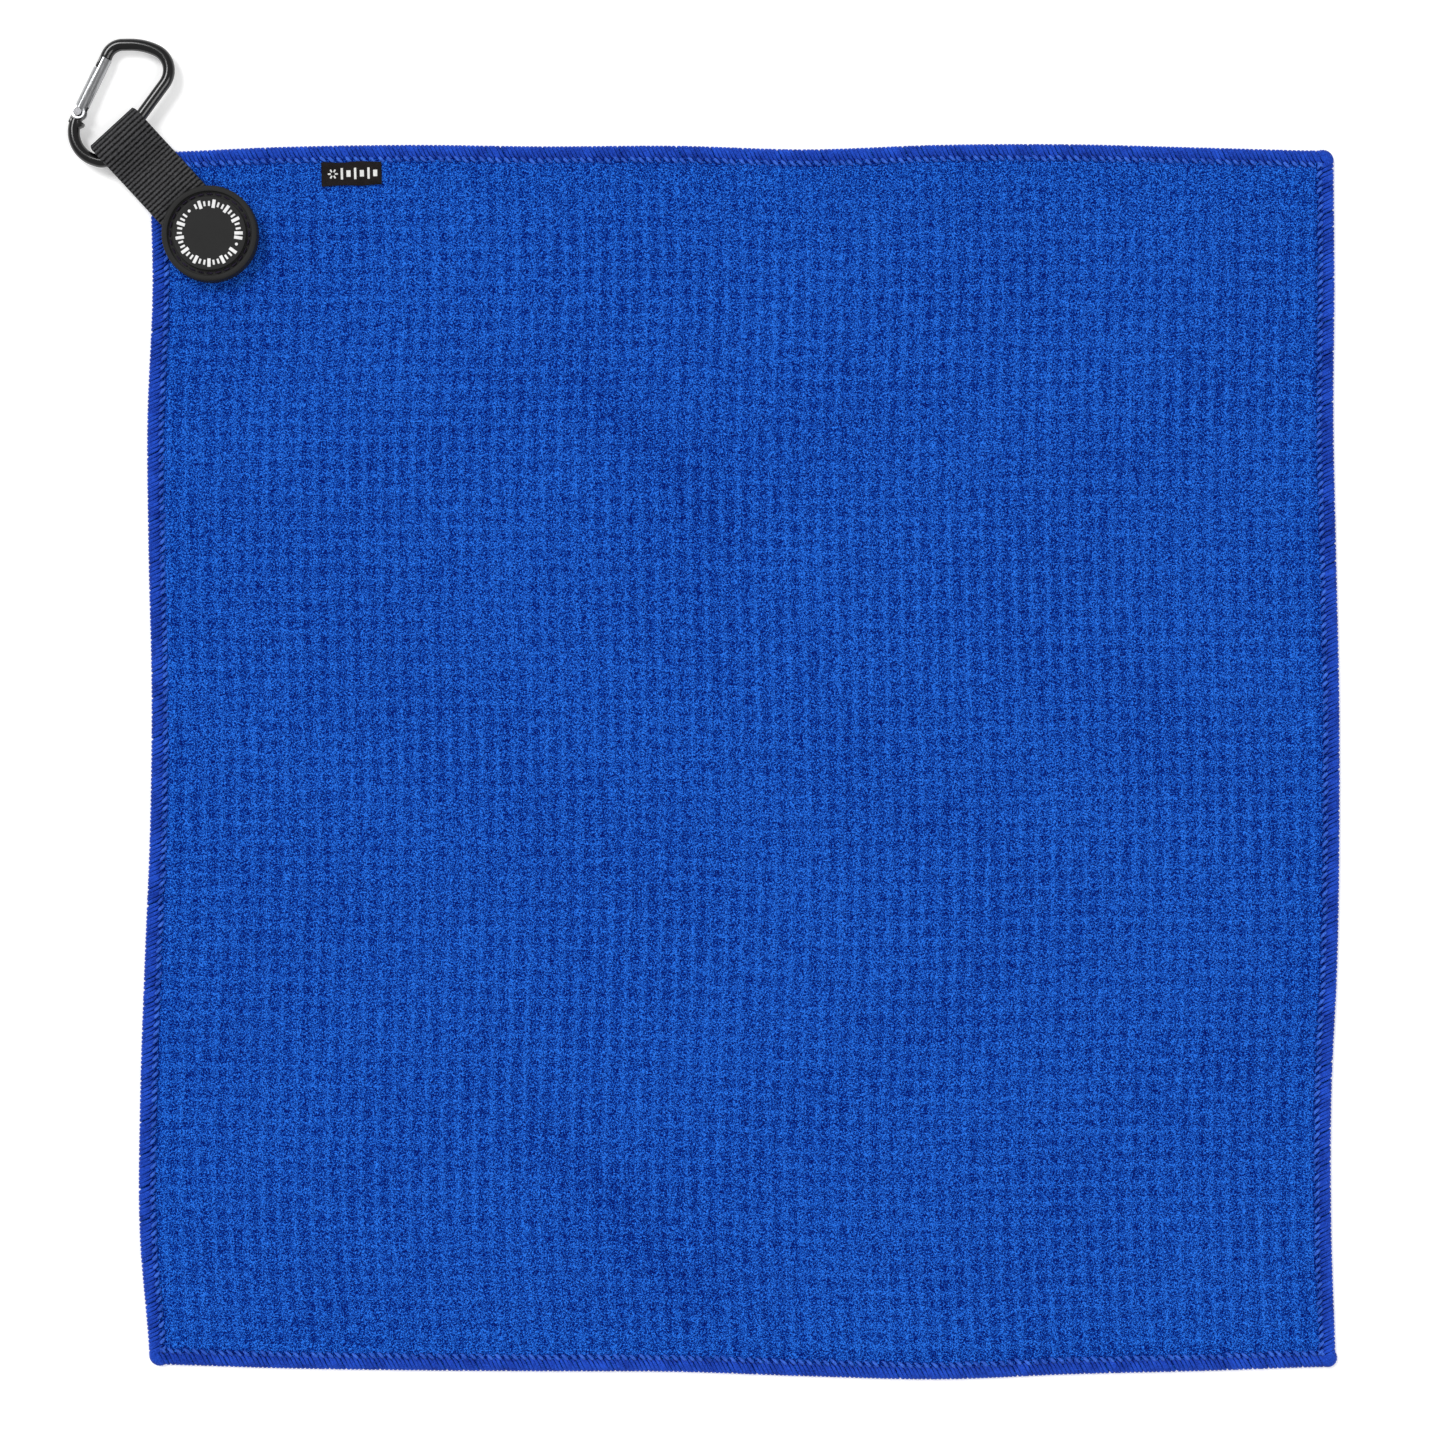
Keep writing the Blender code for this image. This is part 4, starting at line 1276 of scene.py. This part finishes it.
def refine(node: str, name: str, bevel: float) -> bpy.types.Object:
    """Finer copy of a CAD node: its loose triangles merged, its edges eased, its round faces smooth.

    Args:
        node: The CAD node to copy.
        name: The copy's name.
        bevel: How far its sharp edges are eased.

    Returns:
        The copy, in place.
    """
    piece = bpy.data.objects.new(name, frame["nodes"][node].data.copy())
    piece.data.name = name
    bpy.context.scene.collection.objects.link(piece)
    with editing(piece, Pick.VERTS):
        bpy.ops.mesh.select_all(action="SELECT")
        bpy.ops.mesh.remove_doubles(threshold=1e-7)
        bpy.ops.mesh.dissolve_limited(angle_limit=math.radians(1.0))
    if bevel:
        apply_modifier(piece, "BEVEL", width=bevel, segments=2, limit_method="ANGLE", angle_limit=math.radians(50.0))
    smooth(piece, 28.0)
    return piece


@dataclass
class Carabiner:
    """Round bar bent into an eye, with the flat lug, shoulder and tongue that its gate works against."""

    bar_radius: float = 0.0020
    gate_reach: float = 0.00255
    heading_degrees: float = 201.3
    bends: tuple[tuple[float, float, float], ...] = (
        (0.0, 0.0100, 22.7), (0.0, 0.0102, 72.5), (0.0013, 0.0038, 71.4),
        (0.0301, 0.0076, 99.5), (0.0, 0.0200, 26.6), (0.0026, 0.0056, 67.3),
    )
    nose_straight: float = 0.0010
    nose_round: float = 0.00035
    degrees_per_step: float = 4.0
    corners: int = 40
    shoulder_thickness: float = 0.0034
    shoulder: tuple[tuple[float, float], ...] = (
        (0.0, 0.0016), (-0.0015, 0.0016), (-0.0030, 0.0), (-0.0030, -0.0016), (-0.00105, -0.0032), (0.0, -0.0032),
    )
    lug_thickness: float = 0.0020
    lug: tuple[tuple[float, float], ...] = (
        (-0.0018, -0.0019), (0.00375, -0.0019), (0.00435, -0.0013), (0.00435, 0.0013), (0.00375, 0.0019),
        (-0.0018, 0.0019),
    )
    tongue_length: float = 0.0040
    tongue_thickness: float = 0.0011
    tongue_half_width: float = 0.0010
    tongue_outside: float = 0.00185

    def __post_init__(self) -> None:
        """Read the bar's plane and directions from the joints; the bar's heading is from the swing axis."""
        hinge = joint("gate_hinge")
        self.hinge = Vector(hinge["pos_m"])
        self.up = -Vector(hinge["axis"]).normalized()
        self.ahead = Vector(joint("plunger_slide")["axis"]).normalized()
        self.aside = self.up.cross(self.ahead)
        swing = Vector(joint("carabiner_swing")["axis"])
        self.heading = math.radians(self.heading_degrees) + math.atan2(swing.dot(self.aside), swing.dot(self.ahead))

    def bar(self) -> bpy.types.Object:
        """The round bar, from the shoulder round the eye to its nose."""
        heading = self.heading
        place = self.gate_reach * np.array((math.cos(heading), math.sin(heading)))
        points = [place]
        headings = [heading]
        for straight, radius, degrees in (*self.bends, (self.nose_straight, 0.0, 0.0)):
            place = place + straight * np.array((math.cos(heading), math.sin(heading)))
            if straight:
                points.append(place)
                headings.append(heading)
            steps = math.ceil(degrees / self.degrees_per_step)
            centre = place + radius * np.array((-math.sin(heading), math.cos(heading)))
            for step in range(1, steps + 1):
                turned = heading + math.radians(degrees) * step / steps
                points.append(centre + radius * np.array((math.sin(turned), -math.cos(turned))))
                headings.append(turned)
            place = points[-1]
            heading = headings[-1]
        self.nose = place[0]
        tip = np.array((math.cos(heading), math.sin(heading)))
        swell = [1.0] * len(points)
        for angle in (30.0, 60.0):
            turn = math.radians(angle)
            points.append(place + tip * self.nose_round * math.sin(turn))
            headings.append(heading)
            swell.append(1 - self.nose_round / self.bar_radius * (1 - math.cos(turn)))
        flat = np.array(points)
        outward = np.stack([np.sin(headings), -np.cos(headings)], axis=1)
        axes = np.array((self.ahead, self.aside))
        through = np.tile(np.array(self.up), (len(flat), 1))
        sections = np.array(swell)[:, None, None] * ring_section(self.corners, self.bar_radius, self.bar_radius)
        return sweep("carabiner_bar", np.array(self.hinge) + flat @ axes, outward @ axes, through, sections)

    def slab(self, name: str, outline: tuple[tuple[float, float], ...], thickness: float,
             start: float) -> bpy.types.Object:
        """Flat piece of the body with eased edges, in the bar's plane.

        Args:
            name: The piece's name.
            outline: Its corners, anticlockwise or not, from the bar's end.
            thickness: Its thickness across the plane.
            start: Where its own zero stands along the gate, from the hinge.

        Returns:
            The slab, in place.
        """
        clear_selection()
        bpy.ops.mesh.primitive_circle_add(vertices=len(outline), fill_type="NGON")
        slab = take(name)
        write_places(slab, np.array([(x + start, y, -thickness / 2) for x, y in outline]))
        with editing(slab, Pick.EDGES):
            bpy.ops.mesh.select_all(action="SELECT")
            bpy.ops.mesh.extrude_region_move(TRANSFORM_OT_translate={"value": (0, 0, thickness)})
            bpy.ops.mesh.select_all(action="SELECT")
            bpy.ops.mesh.normals_make_consistent(inside=False)
            bpy.ops.mesh.bevel(offset=0.0003, segments=3, affect="EDGES")
        axes = Matrix((self.ahead, self.aside, self.up)).transposed().to_4x4()
        slab.data.transform(Matrix.Translation(self.hinge) @ axes)
        return slab

    def body(self) -> bpy.types.Object:
        """The whole body as one piece."""
        bar = self.bar()
        high = self.tongue_outside
        low = high - self.tongue_thickness
        tongue = ((-self.tongue_length, low), (self.bar_radius / 2, low), (self.bar_radius / 2, high),
                  (-self.tongue_length, high))
        body = join("carabiner_bar", [
            bar,
            self.slab("shoulder", self.shoulder, self.shoulder_thickness, -self.gate_reach),
            self.slab("lug", self.lug, self.lug_thickness, -self.gate_reach),
            self.slab("tongue", tongue, 2 * self.tongue_half_width, self.nose),
        ])
        smooth(body, 40.0)
        return body

    def build(self) -> tuple[bpy.types.Object, ...]:
        """Make the body, gate, rivet, spring and plunger, in place.

        Returns:
            The five pieces, in that order.
        """
        return (
            self.body(),
            refine("carabiner_gate", "gate_sleeve", 0.00012),
            refine("gate_rivet", "gate_rivet_steel", 0.0001),
            refine("gate_spring", "gate_spring_wire", 0.0),
            refine("spring_plunger", "plunger_pin", 0.00008),
        )


# ---------------------------------------------------------------------------------------------
# Studio
# ---------------------------------------------------------------------------------------------


@dataclass(frozen=True)
class Studio:
    """Pale floor, soft lights and a camera straight above the towel."""

    camera_height: float = 1.25
    view_width: float = 1445 / 3000
    view_middle: tuple[float, float] = (-0.00583, 0.0130)
    sensor: float = 36.0
    floor_size: float = 6.0
    floor_level: float = -0.0003
    floor_glow: float = 0.28
    sky: float = 0.42

    def floor(self) -> None:
        """Pale floor under the towel."""
        clear_selection()
        bpy.ops.mesh.primitive_plane_add(size=self.floor_size, location=(0.0, 0.0, self.floor_level))
        floor = take("floor")
        paint = Paint("pale_floor")
        paint.set(Base_Color=(0.93, 0.93, 0.93, 1.0), Roughness=0.9, Specular_IOR_Level=0.1)
        paint.set(Emission_Color=(1.0, 1.0, 1.0, 1.0), Emission_Strength=self.floor_glow)
        dress(floor, paint.material)

    def light(self, name: str, place: tuple[float, float, float], degrees: float, power: float) -> None:
        """Distant round light of a width in degrees, aimed at the towel."""
        lamp = bpy.data.lights.new(name, "SUN")
        lamp.angle = math.radians(degrees)
        lamp.energy = power
        holder = bpy.data.objects.new(name, lamp)
        bpy.context.scene.collection.objects.link(holder)
        holder.location = place
        holder.rotation_euler = (-Vector(place)).to_track_quat("-Z", "Y").to_euler()

    def camera(self) -> None:
        """Camera looking straight down."""
        lens = bpy.data.cameras.new("camera")
        lens.sensor_width = self.sensor
        lens.lens = self.sensor * self.camera_height / self.view_width
        lens.clip_start = 0.01
        holder = bpy.data.objects.new("camera", lens)
        bpy.context.scene.collection.objects.link(holder)
        holder.location = (*self.view_middle, self.camera_height)
        bpy.context.scene.camera = holder

    def build(self) -> None:
        """Set the whole studio up."""
        self.camera()
        self.floor()
        self.light("key", (-0.9, 0.9, 1.6), 24.0, 1.8)
        self.light("fill", (1.2, -0.6, 1.5), 30.0, 0.95)
        world = bpy.data.worlds.new("studio")
        world.use_nodes = True
        background = world.node_tree.nodes["Background"]
        background.inputs["Color"].default_value = (1.0, 1.0, 1.0, 1.0)
        background.inputs["Strength"].default_value = self.sky
        bpy.context.scene.world = world
        bpy.context.scene.view_settings.view_transform = "Standard"


# ---------------------------------------------------------------------------------------------
# The whole object
# ---------------------------------------------------------------------------------------------


def place_piece(piece: bpy.types.Object, finish: bpy.types.Material, body: str,
                nodes: tuple[str, ...] = ()) -> None:
    """Dress a piece, put it on its body and hide the CAD nodes that it replaces.

    Args:
        piece: The finished piece.
        finish: Its material.
        body: The CAD body it rides on, or "" to leave it on no body.
        nodes: CAD nodes that it replaces.
    """
    dress(piece, finish)
    if body:
        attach(piece, body)
    if nodes:
        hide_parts(*nodes)


def main() -> None:
    """Build the object, piece by piece, and its studio."""
    logging.basicConfig(level=logging.INFO, format="%(name)s: %(message)s", force=True)
    finishes = Finishes()
    Studio().build()

    rims = [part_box("overlock_" + side.name.lower()) for side in Side]
    width = max(high.x for _, high in rims) - min(low.x for low, _ in rims)
    length = max(high.y for _, high in rims) - min(low.y for low, _ in rims)
    outline = Outline(width, length)

    cloth = WaffleCloth(outline).build()
    place_piece(cloth, finishes.terry, "towel", ("towel_cloth",))
    hems = []
    for side in Side:
        stem = side.name.lower()
        yarns, loops = OverlockHem(outline).build(side)
        place_piece(yarns, finishes.hem, "towel", ("overlock_" + stem,))
        place_piece(loops, finishes.needle, "towel", ("needle_thread_" + stem,))
        hems += [yarns, loops]
    corners = OverlockHem(outline).corner()
    place_piece(corners, finishes.hem, "towel")
    hems.append(corners)
    label, marks = WovenLabel(outline).build()
    place_piece(label, finishes.label, "towel", ("woven_label",))
    place_piece(marks, finishes.white, "towel")

    strap = WebbingStrap().build()
    place_piece(strap, finishes.webbing, "", ("strap_tail", "strap_loop"))

    patch, stitches, ring = MagnetPatch().build()
    place_piece(patch, finishes.rubber, "towel", ("patch_body",))
    place_piece(stitches, finishes.stitch, "towel", ("patch_needle_thread",))
    place_piece(ring, finishes.ink, "towel")
    dress_node("patch_bobbin_thread", finishes.stitch)
    dress_node("magnet", finishes.steel)
    dress_node("magnet_cover", finishes.rubber)

    body, gate, rivet, spring, plunger = Carabiner().build()
    place_piece(body, finishes.black_metal, "carabiner", ("carabiner_body",))
    place_piece(rivet, finishes.steel, "carabiner", ("gate_rivet",))
    place_piece(gate, finishes.bright_metal, "gate", ("carabiner_gate",))
    place_piece(spring, finishes.steel, "gate", ("gate_spring",))
    place_piece(plunger, finishes.steel, "plunger", ("spring_plunger",))


if __name__ == "__main__":
    main()
